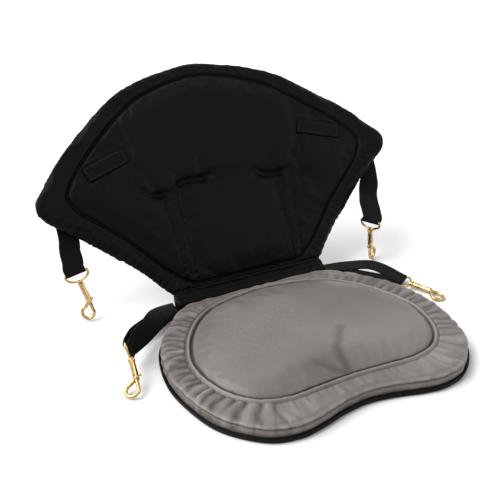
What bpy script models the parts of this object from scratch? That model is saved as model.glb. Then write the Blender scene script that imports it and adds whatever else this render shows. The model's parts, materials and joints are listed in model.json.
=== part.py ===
"""Kayak seat: a padded fan-shaped back, sewn by a fabric hinge roll to a padded seat.

Four webbing straps end in brass swivel snaps. Metres, +Z up, +X to the right, the front of the seat to -Y.
The origin is the middle of the flat underside. The back leans behind the hinge, which runs along X.
"""

import math

import bmesh
import bpy
import numpy as np
from mathutils import Matrix, Vector
from mathutils.bvhtree import BVHTree

# Clearances and cloth
GAP = 0.0003
SKIN = 0.0012
UNDER_SKIN = 0.0015
CREASE_ROOM = 0.0008
LAYER_GAP = 0.0012

# Longest steps between the points of outlines
LINE_SPACING = 0.030
FINE_SPACING = 0.005

# Seat pad
SEAT_WIDTH = 0.356
SEAT_DEPTH = 0.270
SEAT_RIM_TOP = 0.022
SEAT_BULGE_HEIGHT = 0.012
SEAT_CROWN_TOP = 0.0305
SEAT_GROOVE_DEPTH = 0.0045
EDGE_HEIGHT = 0.0067
HEM_BOTTOM = 0.0022
RIM_ROUND = 0.009
INSET_MARGIN = 0.034
INSET_DEPTH = 0.2115
INSET_REAR_MARGIN = 0.0145
INSET_RISE = 0.0065

# Back pad
BACK_WIDTH = 0.494
BACK_HEIGHT = 0.305
BACK_THICKNESS = 0.014
BACK_CROWN = 0.005
BACK_GROOVE_DEPTH = 0.0034
BACK_ROUND = 0.009
PANEL_MARGIN = 0.041
PANEL_HEIGHT = 0.272
PANEL_START = 0.013
PANEL_RISE = 0.0032
RECLINE = math.radians(36.5)
WING_WRAP = 0.029
WRAP_HEIGHT = 0.150

# Hinge between the two pads
ROLL_RADIUS = 0.0085
ROLL_LENGTH = 0.216
HINGE_LIFT = 0.0005
HINGE_SETBACK = 0.0022
BACK_EDGE_GAP = 0.0006

# Stitched tabs on the back's front
TAB_LENGTH = 0.061
TAB_WIDTH = 0.020
TAB_THICKNESS = 0.0012
TAB_INSET = 0.053
TAB_UP = 0.180
TAB_TILT = math.radians(19)

# Webbing
WEB_WIDTH = 0.025
WEB_THICKNESS = 0.0014
ANCHOR_INSET = 0.029
ANCHOR_UP = 0.150
ANCHOR_DOWN = 0.125
ANCHOR_EXIT = 0.100
ANCHOR_STUB = 0.006
LOWER_ANCHOR_HEIGHT = 0.009

# Swivel snap, measured from the eye's bar towards the hook
EYE_WIRE = 0.0015
EYE_INSIDE = 0.026
EYE_CORNER = 0.002
EYE_STRAIGHT = 0.001
EYE_BOW = 0.0085
BOSS_RADIUS = 0.0027
BOSS_LENGTH = 0.0027
STEM_RADIUS = 0.0016
STEM_HEAD_RADIUS = 0.0022
STEM_HEAD_LENGTH = 0.0015
COLLAR_RADIUS = 0.0042
COLLAR_LENGTH = 0.0030
BARREL_RADIUS = 0.0035
BARREL_LENGTH = 0.0280
BOLT_RADIUS = 0.0022
HOOK_WIRE = 0.0022
HOOK_RADIUS = 0.0074
HOOK_DROP = 0.0107
HOOK_TIP = 0.0012
KNOB_RADIUS = 0.0019
KNOB_STEM = 0.0009
KNOB_HEIGHT = 0.0020
KNOB_SETBACK = 0.0047
BOLT_TRAVEL = 0.0075
BOLT_TAIL = 0.0033
SPRING_WIRE = 0.0003
SPRING_TURNS = 4
SPRING_STEPS = 7

# Half outlines, from the front or bottom middle to the rear or top middle, as shares of half width and of length
SEAT_SHAPE = [(0, 0.059), (0.17, 0.045), (0.36, 0.012), (0.517, 0), (0.70, 0.035), (0.88, 0.155), (0.965, 0.30),
              (1, 0.50), (0.93, 0.71), (0.80, 0.845), (0.61, 0.972), (0.50, 0.996), (0.36, 1), (0, 1)]
INSET_SHAPE = [(0, 0.019), (0.243, 0.012), (0.45, 0), (0.611, 0.005), (0.785, 0.052), (0.917, 0.155), (0.993, 0.304),
               (1, 0.464), (0.924, 0.623), (0.806, 0.759), (0.64, 0.876), (0.43, 0.951), (0, 1)]
BACK_SHAPE = [(0, 0), (0.36, 0), (0.44, 0.012), (0.49, 0.055), (0.58, 0.135), (0.70, 0.225), (0.86, 0.352),
              (0.955, 0.412), (0.998, 0.46), (0.99, 0.515), (0.93, 0.575), (0.82, 0.675), (0.60, 0.826),
              (0.47, 0.898), (0.35, 0.941), (0.20, 0.975), (0, 1)]
PANEL_SHAPE = [(0, 0), (0.34, 0), (0.415, 0.022), (0.515, 0.086), (0.695, 0.239), (0.845, 0.349), (0.96, 0.439),
               (1, 0.507), (0.985, 0.548), (0.908, 0.625), (0.772, 0.724), (0.617, 0.824), (0.476, 0.90),
               (0.33, 0.949), (0.16, 0.985), (0, 1)]

BLACK_NYLON = ("black_nylon", (0.012, 0.012, 0.013), 0.55, 0.0)
GREY_NYLON = ("grey_nylon", (0.26, 0.24, 0.22), 0.45, 0.0)
WEBBING = ("black_webbing", (0.005, 0.005, 0.005), 0.75, 0.0)
FOAM = ("foam", (0.05, 0.05, 0.05), 0.9, 0.0)
BRASS = ("brass", (0.75, 0.52, 0.22), 0.2, 1.0)
STEEL = ("spring_steel", (0.5, 0.5, 0.5), 0.3, 1.0)

# Each strap: its route from the sewn end to the eye's bar, the direction of its width at each point and half the
# distance between its two layers there, then the snap's direction, its knob's direction and the way its eye's bar runs.
# Its places are measured out from the pad's side, and then rearwards and up from the hinge for the upper straps and
# rearwards from the roll's middle and up from the ground for the lower ones.
UPPER_ROUTES = {
    "upper_left": dict(
        route=[(-0.0280, 0.0562, 0.0660), (-0.0290, 0.0522, 0.0540)], bar=(-0.0305, 0.0502, 0.0397),
        widths=[(0.97, -0.22, 0.1), (0.94, -0.30, 0.16), (0.91, -0.337, 0.241)],
        halves=[0.0026, 0.0034], side=-1, lie=(0.255, -0.33, -0.909), knob=(0.91, -0.337, 0.241)),
    "upper_right": dict(
        route=[(-0.0350, 0.0497, 0.0640), (-0.0440, 0.0317, 0.0520)], bar=(-0.0590, 0.0067, 0.0408),
        widths=[(0.85, -0.45, 0.10), (0.62, -0.74, 0.12), (0.40, -0.91, 0.10)],
        halves=[0.0070, 0.0110], side=1, lie=(0.04, -0.02, -0.999), knob=(-0.86, -0.50, 0.0)),
}
LOWER_ROUTES = {
    "lower_left": dict(
        route=[(-0.0430, -0.0141, 0.0130), (-0.0140, -0.0431, 0.0190)], bar=(0.0230, -0.0861, 0.0265),
        widths=[(-0.45, 0.85, 0.25), (-0.45, 0.45, 0.75), (-0.37, -0.30, 0.88)],
        halves=[0.0030, 0.0060], side=-1, lie=(-0.147, -0.936, -0.325), knob=(0.896, -0.263, 0.357)),
    "lower_right": dict(
        route=[(-0.0410, -0.0131, 0.0105), (-0.0140, -0.0361, 0.0115)], bar=(0.0085, -0.0711, 0.0084),
        widths=[(0.45, 0.89, 0.0), (0.66, 0.75, 0.0), (0.845, 0.535, 0.0)],
        halves=[0.0050, 0.0090], side=1, lie=(0.531, -0.842, -0.095), knob=(0.845, 0.535, 0.0)),
}

INSET_WIDTH = SEAT_WIDTH - 2 * INSET_MARGIN
PANEL_WIDTH = BACK_WIDTH - 2 * PANEL_MARGIN
TAB_ACROSS = PANEL_WIDTH / 2 - TAB_INSET
ANCHOR_ACROSS = BACK_WIDTH / 2 - ANCHOR_INSET
ROLL_MIDDLE = (SEAT_DEPTH / 2 + ROLL_RADIUS + GAP * 2, SEAT_RIM_TOP - ROLL_RADIUS - HINGE_LIFT)
HINGE = Vector((0.0, ROLL_MIDDLE[0] + HINGE_SETBACK, SEAT_RIM_TOP))
HINGE_TURN = Matrix.Rotation(math.pi / 2 - RECLINE, 4, "X")
HINGE_FRAME = Matrix.Translation(HINGE) @ HINGE_TURN


def placed(strap, half_width, start):
    """The strap with its route and its eye's bar in their places beside a pad."""
    spots = [(strap["side"] * (half_width + out), start[0] + rear, start[1] + up)
             for out, rear, up in strap["route"] + [strap["bar"]]]
    return dict(strap, route=spots[:-1], bar=spots[-1])


UPPER_STRAPS = {name: placed(strap, BACK_WIDTH / 2, HINGE.yz) for name, strap in UPPER_ROUTES.items()}
LOWER_STRAPS = {name: placed(strap, SEAT_WIDTH / 2, (ROLL_MIDDLE[0], 0.0)) for name, strap in LOWER_ROUTES.items()}


def start_scene(name):
    """Empties the scene and returns the collections of the parts and of the cutters."""
    for obj in list(bpy.data.objects):
        bpy.data.objects.remove(obj, do_unlink=True)
    found = []
    for title in (name, name + "_cutters"):
        collection = bpy.data.collections.new(title)
        bpy.context.scene.collection.children.link(collection)
        found.append(collection)
    return found


def material(spec):
    """A plain Principled material, made once for each finish."""
    name, colour, roughness, metallic = spec
    found = bpy.data.materials.get(name)
    if found is None:
        found = bpy.data.materials.new(name)
        found.use_nodes = True
        shader = found.node_tree.nodes["Principled BSDF"]
        shader.inputs["Base Color"].default_value = (*colour, 1)
        shader.inputs["Roughness"].default_value = roughness
        shader.inputs["Metallic"].default_value = metallic
    return found


def add_object(name, mesh, finish, parent=None):
    """Puts a mesh into the parts collection under its finish and its parent."""
    obj = bpy.data.objects.new(name, mesh)
    PARTS.objects.link(obj)
    if not mesh.materials:
        mesh.materials.append(material(finish))
    obj.parent = parent
    return obj


def mesh_from(bm, name, angle=40):
    """Turns a bmesh into a mesh that is shaded smooth but for its sharp edges."""
    mesh = bpy.data.meshes.new(name)
    bm.to_mesh(mesh)
    bm.free()
    mesh.shade_smooth()
    mesh.set_sharp_from_angle(angle=math.radians(angle))
    return mesh


def thicken(obj, thickness, offset=-1.0):
    """Gives an open surface its thickness."""
    solidify = obj.modifiers.new("thickness", "SOLIDIFY")
    solidify.thickness = thickness
    solidify.offset = offset


# Outlines and lofts


def outline(shape, width, length, start, spacing):
    """Closed smooth line through a half outline and its mirror image, counter-clockwise."""
    half = [(x * width / 2, start + y * length) for x, y in shape]
    points = np.array(half + [(-x, y) for x, y in half[-2:0:-1]])
    found = []
    for i in range(len(points)):
        a, b, c, d = (points[(i + k) % len(points)] for k in (-1, 0, 1, 2))
        for t in np.linspace(0, 1, math.ceil(np.linalg.norm(c - b) / spacing), endpoint=False):
            found.append(0.5 * (2 * b + (c - a) * t + (2 * a - 5 * b + 4 * c - d) * t**2
                                + (3 * b - a - 3 * c + d) * t**3))
    return np.clip(found, (-width / 2, start), (width / 2, start + length))


def matched(inner, outer, middle):
    """Points of the inner line that lie in the directions of the outer line's points, seen from the middle."""
    angles = np.arctan2(*(outer - middle).T[::-1])
    own = np.arctan2(*(inner - middle).T[::-1])
    order = np.argsort(own)
    radius = np.linalg.norm(inner - middle, axis=1)
    reach = np.interp(angles, own[order], radius[order], period=2 * math.pi)
    return middle + np.c_[np.cos(angles), np.sin(angles)] * reach[:, None]


def drawn_in(line, distance):
    """The line moved inwards by a distance, square to itself."""
    along = np.roll(line, -1, axis=0) - np.roll(line, 1, axis=0)
    along /= np.linalg.norm(along, axis=1)[:, None]
    return line - np.c_[along[:, 1], -along[:, 0]] * distance


def ring(line, height):
    return np.c_[line, np.full(len(line), height)]


def shrunk(line, middle, share, height):
    return ring(middle + (line - middle) * share, height)


def inside(rings, pole, distance):
    """The surface through the rings, moved below itself by a distance."""
    rings = np.array(rings)
    along = np.roll(rings, -1, axis=1) - np.roll(rings, 1, axis=1)
    last = np.broadcast_to(pole, rings[:1].shape)
    across = np.concatenate([rings[1:], last]) - np.concatenate([rings[:1], rings[:-1]])
    normal = np.cross(along, across)
    normal /= np.linalg.norm(normal, axis=2)[..., None]
    return rings - normal * distance


def loft(name, rings, top, bottom=None):
    """A skin over rings of equal count, closed at the top by a pole and, if given, at the bottom too."""
    bm = bmesh.new()
    loops = [[bm.verts.new(p) for p in line] for line in rings]
    count = len(loops[0])
    for low, high in zip(loops, loops[1:]):
        for k in range(count):
            bm.faces.new((low[k], low[(k + 1) % count], high[(k + 1) % count], high[k]))
    for pole, line, turn in ((top, loops[-1], 1), (bottom, loops[0], -1)):
        if pole is not None:
            tip = bm.verts.new(pole)
            for k in range(count):
                bm.faces.new((line[k], line[(k + 1) % count], tip)[::turn])
    return mesh_from(bm, name)


# Seat


def seat_lines():
    """The seat's outer line, the inset's line and the middle that both are seen from."""
    outer = outline(SEAT_SHAPE, SEAT_WIDTH, SEAT_DEPTH, -SEAT_DEPTH / 2, LINE_SPACING)
    start = SEAT_DEPTH / 2 - INSET_REAR_MARGIN - INSET_DEPTH
    inset = outline(INSET_SHAPE, INSET_WIDTH, INSET_DEPTH, start, FINE_SPACING)
    middle = np.array((0.0, start + INSET_DEPTH / 2))
    return outer, matched(inset, outer, middle), middle


def seat_surface():
    """Rings of the grey cover from its hem to the crown, and the index of the groove."""
    outer, inset, middle = seat_lines()
    tuck = UNDER_SKIN
    groove = SEAT_RIM_TOP - SEAT_GROOVE_DEPTH
    rise = SEAT_CROWN_TOP - groove
    rings = [
        ring(drawn_in(outer, tuck), HEM_BOTTOM),
        ring(drawn_in(outer, tuck), EDGE_HEIGHT),
        ring(outer, SEAT_BULGE_HEIGHT),
        ring(drawn_in(outer, RIM_ROUND * 0.10), (SEAT_BULGE_HEIGHT + SEAT_RIM_TOP) / 2),
        ring(drawn_in(outer, RIM_ROUND * 0.42), SEAT_RIM_TOP - RIM_ROUND * 0.2),
        ring(drawn_in(outer, RIM_ROUND), SEAT_RIM_TOP),
        ring(drawn_in(inset, -0.003), groove + SEAT_GROOVE_DEPTH * 0.65),
        ring(inset, groove),
        ring(drawn_in(inset, 0.004), groove + INSET_RISE),
        shrunk(inset, middle, 0.86, groove + rise * 0.72),
        shrunk(inset, middle, 0.62, groove + rise * 0.90),
        shrunk(inset, middle, 0.32, groove + rise * 0.98),
    ]
    return rings, (*middle, SEAT_CROWN_TOP), 7


def make_seat():
    rings, crown, groove = seat_surface()
    cover = add_object("seat_cover", loft("seat_cover", rings, crown), GREY_NYLON)
    thicken(cover, SKIN)

    core = inside(rings, crown, SKIN + CREASE_ROOM)
    floor = UNDER_SKIN + GAP
    level = core[groove][:, 2].min() - CREASE_ROOM
    sides = [core[1] * (1, 1, 0) + (0, 0, floor)]
    sides += [core[i] for i in range(1, groove)]
    sides += [ring(core[groove][:, :2], level)]
    middle = (crown[0], crown[1])
    base = loft("seat_foam", sides, (*middle, level), (*middle, floor))
    add_object("seat_foam", base, FOAM)

    lower = ring(core[groove + 1][:, :2], level + GAP)
    pad = [lower] + [core[i] for i in range(groove + 1, len(rings))]
    top = (*middle, crown[2] - SKIN - CREASE_ROOM)
    inset = loft("seat_inset_foam", pad, top, (*middle, level + GAP))
    add_object("seat_inset_foam", inset, FOAM)


def make_underside():
    """Flat black underside whose edge turns up round the grey cover."""
    outer, inset, middle = seat_lines()
    wall = drawn_in(outer, -GAP)
    flat = drawn_in(outer, UNDER_SKIN * 0.5)
    rings = [ring(wall, EDGE_HEIGHT), ring(wall, UNDER_SKIN), ring(flat, 0), shrunk(inset, middle, 0.6, 0)]
    mesh = loft("seat_underside", rings, (0, 0, 0))
    bm = bmesh.new()
    bm.from_mesh(mesh)
    bmesh.ops.reverse_faces(bm, faces=bm.faces)
    bm.to_mesh(mesh)
    bm.free()
    thicken(add_object("seat_underside", mesh, BLACK_NYLON), UNDER_SKIN - GAP)


def make_hinge_roll():
    bm = bmesh.new()
    bmesh.ops.create_cone(bm, cap_ends=True, segments=20, radius1=ROLL_RADIUS, radius2=ROLL_RADIUS,
                          depth=ROLL_LENGTH)
    rims = [e for e in bm.edges if abs(e.verts[0].co.z - e.verts[1].co.z) < 1e-6]
    bmesh.ops.bevel(bm, geom=rims, offset=ROLL_RADIUS * 0.3, offset_type="OFFSET", affect="EDGES", segments=2,
                    profile=0.5, material=-1)
    roll = add_object("hinge_roll", mesh_from(bm, "hinge_roll"), BLACK_NYLON)
    roll.rotation_euler = (0, math.pi / 2, 0)
    roll.location = (0, *ROLL_MIDDLE)


# Back, in its own frame: X across, Y up the back from the hinge, Z out of its front


def wrapped(points):
    """Bends the wings forwards."""
    points = np.array(points, float)
    up = np.clip(points[..., 1] / WRAP_HEIGHT, 0, 1)
    lift = WING_WRAP * (points[..., 0] / (BACK_WIDTH / 2)) ** 2 * up * up * (3 - 2 * up)
    points[..., 2] += lift
    return points


def back_lines():
    outer = outline(BACK_SHAPE, BACK_WIDTH, BACK_HEIGHT, BACK_EDGE_GAP, LINE_SPACING)
    panel = outline(PANEL_SHAPE, PANEL_WIDTH, PANEL_HEIGHT, PANEL_START, FINE_SPACING)
    middle = np.array((0.0, BACK_HEIGHT * 0.45))
    return outer, matched(panel, outer, middle), middle


def back_front_surface():
    """Rings of the front cover from the side seam to the crown of the panel."""
    outer, panel, middle = back_lines()
    seam = -BACK_THICKNESS / 2
    rise = BACK_CROWN + BACK_GROOVE_DEPTH
    rings = [
        ring(outer, seam + GAP / 2),
        ring(outer, seam * 0.75),
        ring(drawn_in(outer, BACK_ROUND * 0.12), seam * 0.42),
        ring(drawn_in(outer, BACK_ROUND * 0.45), seam * 0.16),
        ring(drawn_in(outer, BACK_ROUND * 0.90), 0),
        ring(drawn_in(panel, -0.003), -BACK_GROOVE_DEPTH * 0.35),
        ring(panel, -BACK_GROOVE_DEPTH),
        ring(drawn_in(panel, 0.004), PANEL_RISE - BACK_GROOVE_DEPTH * 0.5),
        shrunk(panel, middle, 0.84, rise * 0.80 - BACK_GROOVE_DEPTH),
        shrunk(panel, middle, 0.56, rise * 0.95 - BACK_GROOVE_DEPTH),
        shrunk(panel, middle, 0.26, rise * 0.99 - BACK_GROOVE_DEPTH),
    ]
    return wrapped(rings), wrapped((*middle, BACK_CROWN)), 6


def back_rear_surface():
    outer, panel, middle = back_lines()
    seam = -BACK_THICKNESS / 2
    rings = [
        ring(outer, seam - GAP / 2),
        ring(outer, seam * 1.25),
        ring(drawn_in(outer, BACK_ROUND * 0.12), seam * 1.58),
        ring(drawn_in(outer, BACK_ROUND * 0.45), seam * 1.84),
        ring(drawn_in(outer, BACK_ROUND * 0.90), -BACK_THICKNESS),
        shrunk(panel, middle, 0.92, -BACK_THICKNESS),
        shrunk(panel, middle, 0.72, -BACK_THICKNESS),
        shrunk(panel, middle, 0.50, -BACK_THICKNESS),
        shrunk(panel, middle, 0.25, -BACK_THICKNESS),
    ]
    return wrapped(rings), wrapped((*middle, -BACK_THICKNESS))


def make_back(carrier):
    front, crown, groove = back_front_surface()
    cover = add_object("back_cover_front", loft("back_cover_front", front, crown), BLACK_NYLON, carrier)
    thicken(cover, SKIN)

    rear, hollow = back_rear_surface()
    mesh = loft("back_cover_rear", rear, hollow)
    bm = bmesh.new()
    bm.from_mesh(mesh)
    bmesh.ops.reverse_faces(bm, faces=bm.faces)
    bm.to_mesh(mesh)
    bm.free()
    thicken(add_object("back_cover_rear", mesh, BLACK_NYLON, carrier), SKIN)

    room = SKIN + CREASE_ROOM
    core = inside(front, crown, room)
    deep = inside(rear, hollow, -room)
    outer, panel, middle = back_lines()
    level = -BACK_GROOVE_DEPTH - room - CREASE_ROOM
    flat = [wrapped(ring(core[k][:, :2], level)) for k in range(groove, len(core))]
    sides = [deep[k] for k in range(len(deep) - 1, 0, -1)] + [core[k] for k in range(1, groove)] + flat
    top = wrapped((*middle, level))
    bottom = wrapped((*middle, room - BACK_THICKNESS))
    add_object("back_foam", loft("back_foam", sides, top, bottom), FOAM, carrier)

    lower = [wrapped(ring(core[k][:, :2], level + LAYER_GAP)) for k in range(len(core) - 1, groove, -1)]
    pad = lower + [core[k] for k in range(groove + 1, len(core))]
    top = wrapped((*middle, BACK_CROWN - room))
    bottom = wrapped((*middle, level + LAYER_GAP))
    add_object("back_panel_foam", loft("back_panel_foam", pad, top, bottom), FOAM, carrier)


def make_tabs(carrier):
    """Two stitched tabs that lie on the front cover."""
    front, crown, _ = back_front_surface()
    bm = bmesh.new()
    bm.from_mesh(loft("tab_bed", front, crown))
    bed = BVHTree.FromBMesh(bm)
    bm.free()
    for name, side in (("left_tab", -1), ("right_tab", 1)):
        bm = bmesh.new()
        bmesh.ops.create_grid(bm, x_segments=5, y_segments=2, size=0.5)
        place = (Matrix.Translation((side * TAB_ACROSS, TAB_UP, 0)) @ Matrix.Rotation(-side * TAB_TILT, 4, "Z")
                 @ Matrix.Diagonal((TAB_LENGTH, TAB_WIDTH, 1, 1)))
        bmesh.ops.transform(bm, matrix=place, verts=bm.verts)
        for v in bm.verts:
            hit = bed.ray_cast(Vector((v.co.x, v.co.y, 0.1)), Vector((0, 0, -1)))[0]
            v.co.z = hit.z + GAP * 2
        tab = add_object(name, mesh_from(bm, name), WEBBING, carrier)
        thicken(tab, TAB_THICKNESS, 1.0)


# Straps


def smooth_line(points, count):
    """Points on a smooth open curve through the given points, with count steps between two of them."""
    points = np.array(points, float)
    chords = np.linalg.norm(np.diff(points, axis=0), axis=1)[:, None] + 1e-9
    slopes = np.vstack([(points[1:2] - points[:1]) / chords[:1],
                        (points[2:] - points[:-2]) / (chords[1:] + chords[:-1]),
                        (points[-1:] - points[-2:-1]) / chords[-1:]])
    found = []
    for i, chord in enumerate(chords):
        for t in np.linspace(0, 1, count, endpoint=False):
            found.append(points[i] * (2 * t**3 - 3 * t**2 + 1) + points[i + 1] * (3 * t**2 - 2 * t**3)
                         + slopes[i] * chord * (t**3 - 2 * t**2 + t) + slopes[i + 1] * chord * (t**3 - t**2))
    return np.vstack([found, points[-1:]])


def unit(vectors):
    vectors = np.asarray(vectors, float)
    return vectors / np.linalg.norm(vectors, axis=-1, keepdims=True)


def frame_along(origin, z_axis, x_axis):
    """Frame at a point with Z along one direction and X as near as it can be to another."""
    z = Vector(z_axis).normalized()
    x = Vector(x_axis)
    x = (x - z * x.dot(z)).normalized()
    y = z.cross(x)
    return Matrix.Translation(origin) @ Matrix((x, y, z)).transposed().to_4x4()


def make_strap(name, route, widths, halves):
    """A loop of webbing from its sewn end, round the eye's bar at the end of the route, and back."""
    steps = 3
    middle = smooth_line(route, steps)
    along = unit(np.gradient(middle, axis=0))
    for end in (0, -1):
        along[end] = unit(along[end] - np.array(widths[end]) * np.dot(along[end], widths[end]))
    width = smooth_line(widths, steps)
    width = unit(width - along * (width * along).sum(1)[:, None])
    out = np.cross(along, width)
    half = smooth_line(np.array(halves)[:, None], steps)
    bend = halves[-1]
    turn = np.linspace(0, math.pi, 8)[1:-1, None]
    bight = middle[-1] + bend * (np.cos(turn) * out[-1] + np.sin(turn) * along[-1])
    path = np.vstack([middle + out * half, bight, (middle - out * half)[::-1]])
    sides = np.vstack([width, np.repeat(width[-1:], len(bight), axis=0), width[::-1]]) * WEB_WIDTH / 2
    bm = bmesh.new()
    bmesh.ops.create_grid(bm, x_segments=1, y_segments=len(path) - 1, size=0.5)
    for v in bm.verts:
        k = round((v.co.y + 0.5) * (len(path) - 1))
        v.co = path[k] + sides[k] * math.copysign(1, v.co.x)
    strap = add_object(name + "_strap", mesh_from(bm, name + "_strap"), WEBBING)
    thicken(strap, WEB_THICKNESS, 0.0)
    return strap


def eye_frame(strap):
    """Frame at the eye's bar: X along the bar, Z towards the hook."""
    return frame_along(strap["bar"], strap["lie"], strap["widths"][-1])


def make_straps(carrier):
    stacked = (WEB_THICKNESS + GAP) / 2
    round_bar = EYE_WIRE + GAP + WEB_THICKNESS / 2
    behind = -BACK_THICKNESS - GAP * 2 - WEB_THICKNESS - GAP / 2
    turn = np.array(HINGE_TURN.to_3x3())
    for name, strap in UPPER_STRAPS.items():
        across = strap["side"] * ANCHOR_ACROSS
        ups = (ANCHOR_UP, ANCHOR_DOWN, ANCHOR_EXIT)
        sewn = [tuple(turn @ wrapped((across, up, behind)) + HINGE) for up in ups]
        lay = [turn @ (wrapped((across + SKIN, up, behind)) - wrapped((across - SKIN, up, behind))) for up in ups]
        widths = [unit(way) for way in lay] + strap["widths"][:-1] + [np.array(eye_frame(strap).col[0][:3])]
        halves = [stacked] * 3 + strap["halves"] + [round_bar]
        made = make_strap(name, sewn + strap["route"] + [strap["bar"]], widths, halves)
        made.parent = carrier
        made.matrix_parent_inverse = HINGE_FRAME.inverted()
    for name, strap in LOWER_STRAPS.items():
        ends = [ROLL_LENGTH / 2 + GAP, ROLL_LENGTH / 2 + GAP + ANCHOR_STUB]
        sewn = [(strap["side"] * x, ROLL_MIDDLE[0], LOWER_ANCHOR_HEIGHT) for x in ends]
        widths = [(0, 1, 0), (0, 1, 0)] + strap["widths"][:-1] + [np.array(eye_frame(strap).col[0][:3])]
        halves = [stacked] * 2 + strap["halves"] + [round_bar]
        make_strap(name, sewn + strap["route"] + [strap["bar"]], widths, halves)


# Snaps, in their own frame: Z from the eye's bar to the hook, X towards the thumb knob or along the bar


def turned(name, profile, segments=18):
    """A solid turned about Z from (radius, height) pairs that start and end on the axis, top first."""
    mesh = bpy.data.meshes.new(name)
    mesh.from_pydata([(r, 0, z) for r, z in profile], [(k, k + 1) for k in range(len(profile) - 1)], [])
    obj = bpy.data.objects.new(name, mesh)
    CUTTERS.objects.link(obj)
    screw = obj.modifiers.new("turn", "SCREW")
    screw.steps = segments
    screw.render_steps = segments
    screw.use_merge_vertices = True
    screw.merge_threshold = 0.00001
    return obj


def wire(name, points, radius, closed=False, sides=2):
    """A round wire along points."""
    curve = bpy.data.curves.new(name, "CURVE")
    curve.dimensions = "3D"
    curve.bevel_depth = radius
    curve.bevel_resolution = sides
    curve.use_fill_caps = not closed
    spline = curve.splines.new("POLY")
    spline.points.add(len(points) - 1)
    for point, place in zip(spline.points, points):
        point.co = (*place, 1)
    spline.use_cyclic_u = closed
    obj = bpy.data.objects.new(name, curve)
    CUTTERS.objects.link(obj)
    return obj


def as_mesh(obj):
    """The evaluated shape of a guide as a welded mesh object in its place."""
    mesh = bpy.data.meshes.new_from_object(obj.evaluated_get(bpy.context.evaluated_depsgraph_get()))
    bm = bmesh.new()
    bm.from_mesh(mesh)
    bmesh.ops.remove_doubles(bm, verts=bm.verts, dist=0.00001)
    bmesh.ops.recalc_face_normals(bm, faces=bm.faces)
    bm.to_mesh(mesh)
    bm.free()
    name = obj.name
    bpy.data.objects.remove(obj, do_unlink=True)
    made = bpy.data.objects.new(name, mesh)
    CUTTERS.objects.link(made)
    return made


def combined(name, base, steps, finish):
    """One mesh from a base and its (operation, tool) steps, with the tools removed."""
    for operation, tool in steps:
        tool.hide_render = True
        tool.display_type = "WIRE"
        change = base.modifiers.new(operation.lower(), "BOOLEAN")
        change.operation = operation
        change.object = tool
        change.solver = "EXACT"
    made = as_mesh(base)
    for _, tool in steps:
        bpy.data.objects.remove(tool, do_unlink=True)
    mesh = made.data
    mesh.name = name
    bpy.data.objects.remove(made, do_unlink=True)
    mesh.materials.clear()
    mesh.materials.append(material(finish))
    mesh.shade_smooth()
    mesh.set_sharp_from_angle(angle=math.radians(35))
    return mesh


EYE_HALF = EYE_INSIDE / 2 + EYE_WIRE
BOW_END = EYE_CORNER + EYE_STRAIGHT + EYE_BOW
BOSS_END = BOW_END + BOSS_LENGTH - EYE_WIRE / 2
COLLAR_START = BOSS_END + GAP
NECK_END = COLLAR_START + COLLAR_LENGTH
BARREL_END = COLLAR_START + BARREL_LENGTH
NECK_BORE = STEM_RADIUS + GAP
BORE = BOLT_RADIUS + GAP * 1.3
HOOK_MIDDLE = BARREL_END + HOOK_DROP
BOLT_END = HOOK_MIDDLE - HOOK_TIP - GAP
KNOB_PLACE = BARREL_END - KNOB_SETBACK
BOLT_START = KNOB_PLACE - BOLT_TAIL
HEAD_END = NECK_END + GAP + STEM_HEAD_LENGTH


def eye_mesh():
    """Rounded wire eye with the boss and the headed stem that it swivels on."""
    corner = [(EYE_HALF - EYE_CORNER * (1 - math.sin(t)), 0, EYE_CORNER * (1 - math.cos(t)))
              for t in np.linspace(0, math.pi / 2, 3)]
    low = EYE_CORNER + EYE_STRAIGHT
    bow = [(EYE_HALF * math.cos(t), 0, low + EYE_BOW * math.sin(t)) for t in np.linspace(0, math.pi / 2, 6)]
    half = corner + bow[:-1]
    points = half + [bow[-1]] + [(-x, y, z) for x, y, z in half[::-1]]
    loop = as_mesh(wire("eye_loop", points, EYE_WIRE, closed=True))
    stem = turned("eye_stem", [(0, HEAD_END), (STEM_HEAD_RADIUS, HEAD_END), (STEM_HEAD_RADIUS, NECK_END + GAP),
                               (STEM_RADIUS, NECK_END + GAP), (STEM_RADIUS, BOSS_END), (BOSS_RADIUS, BOSS_END),
                               (BOSS_RADIUS, BOW_END - EYE_WIRE * 0.6), (0, BOW_END - EYE_WIRE * 0.6)], 16)
    return combined("eye", as_mesh(stem), [("UNION", loop)], BRASS)


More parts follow.
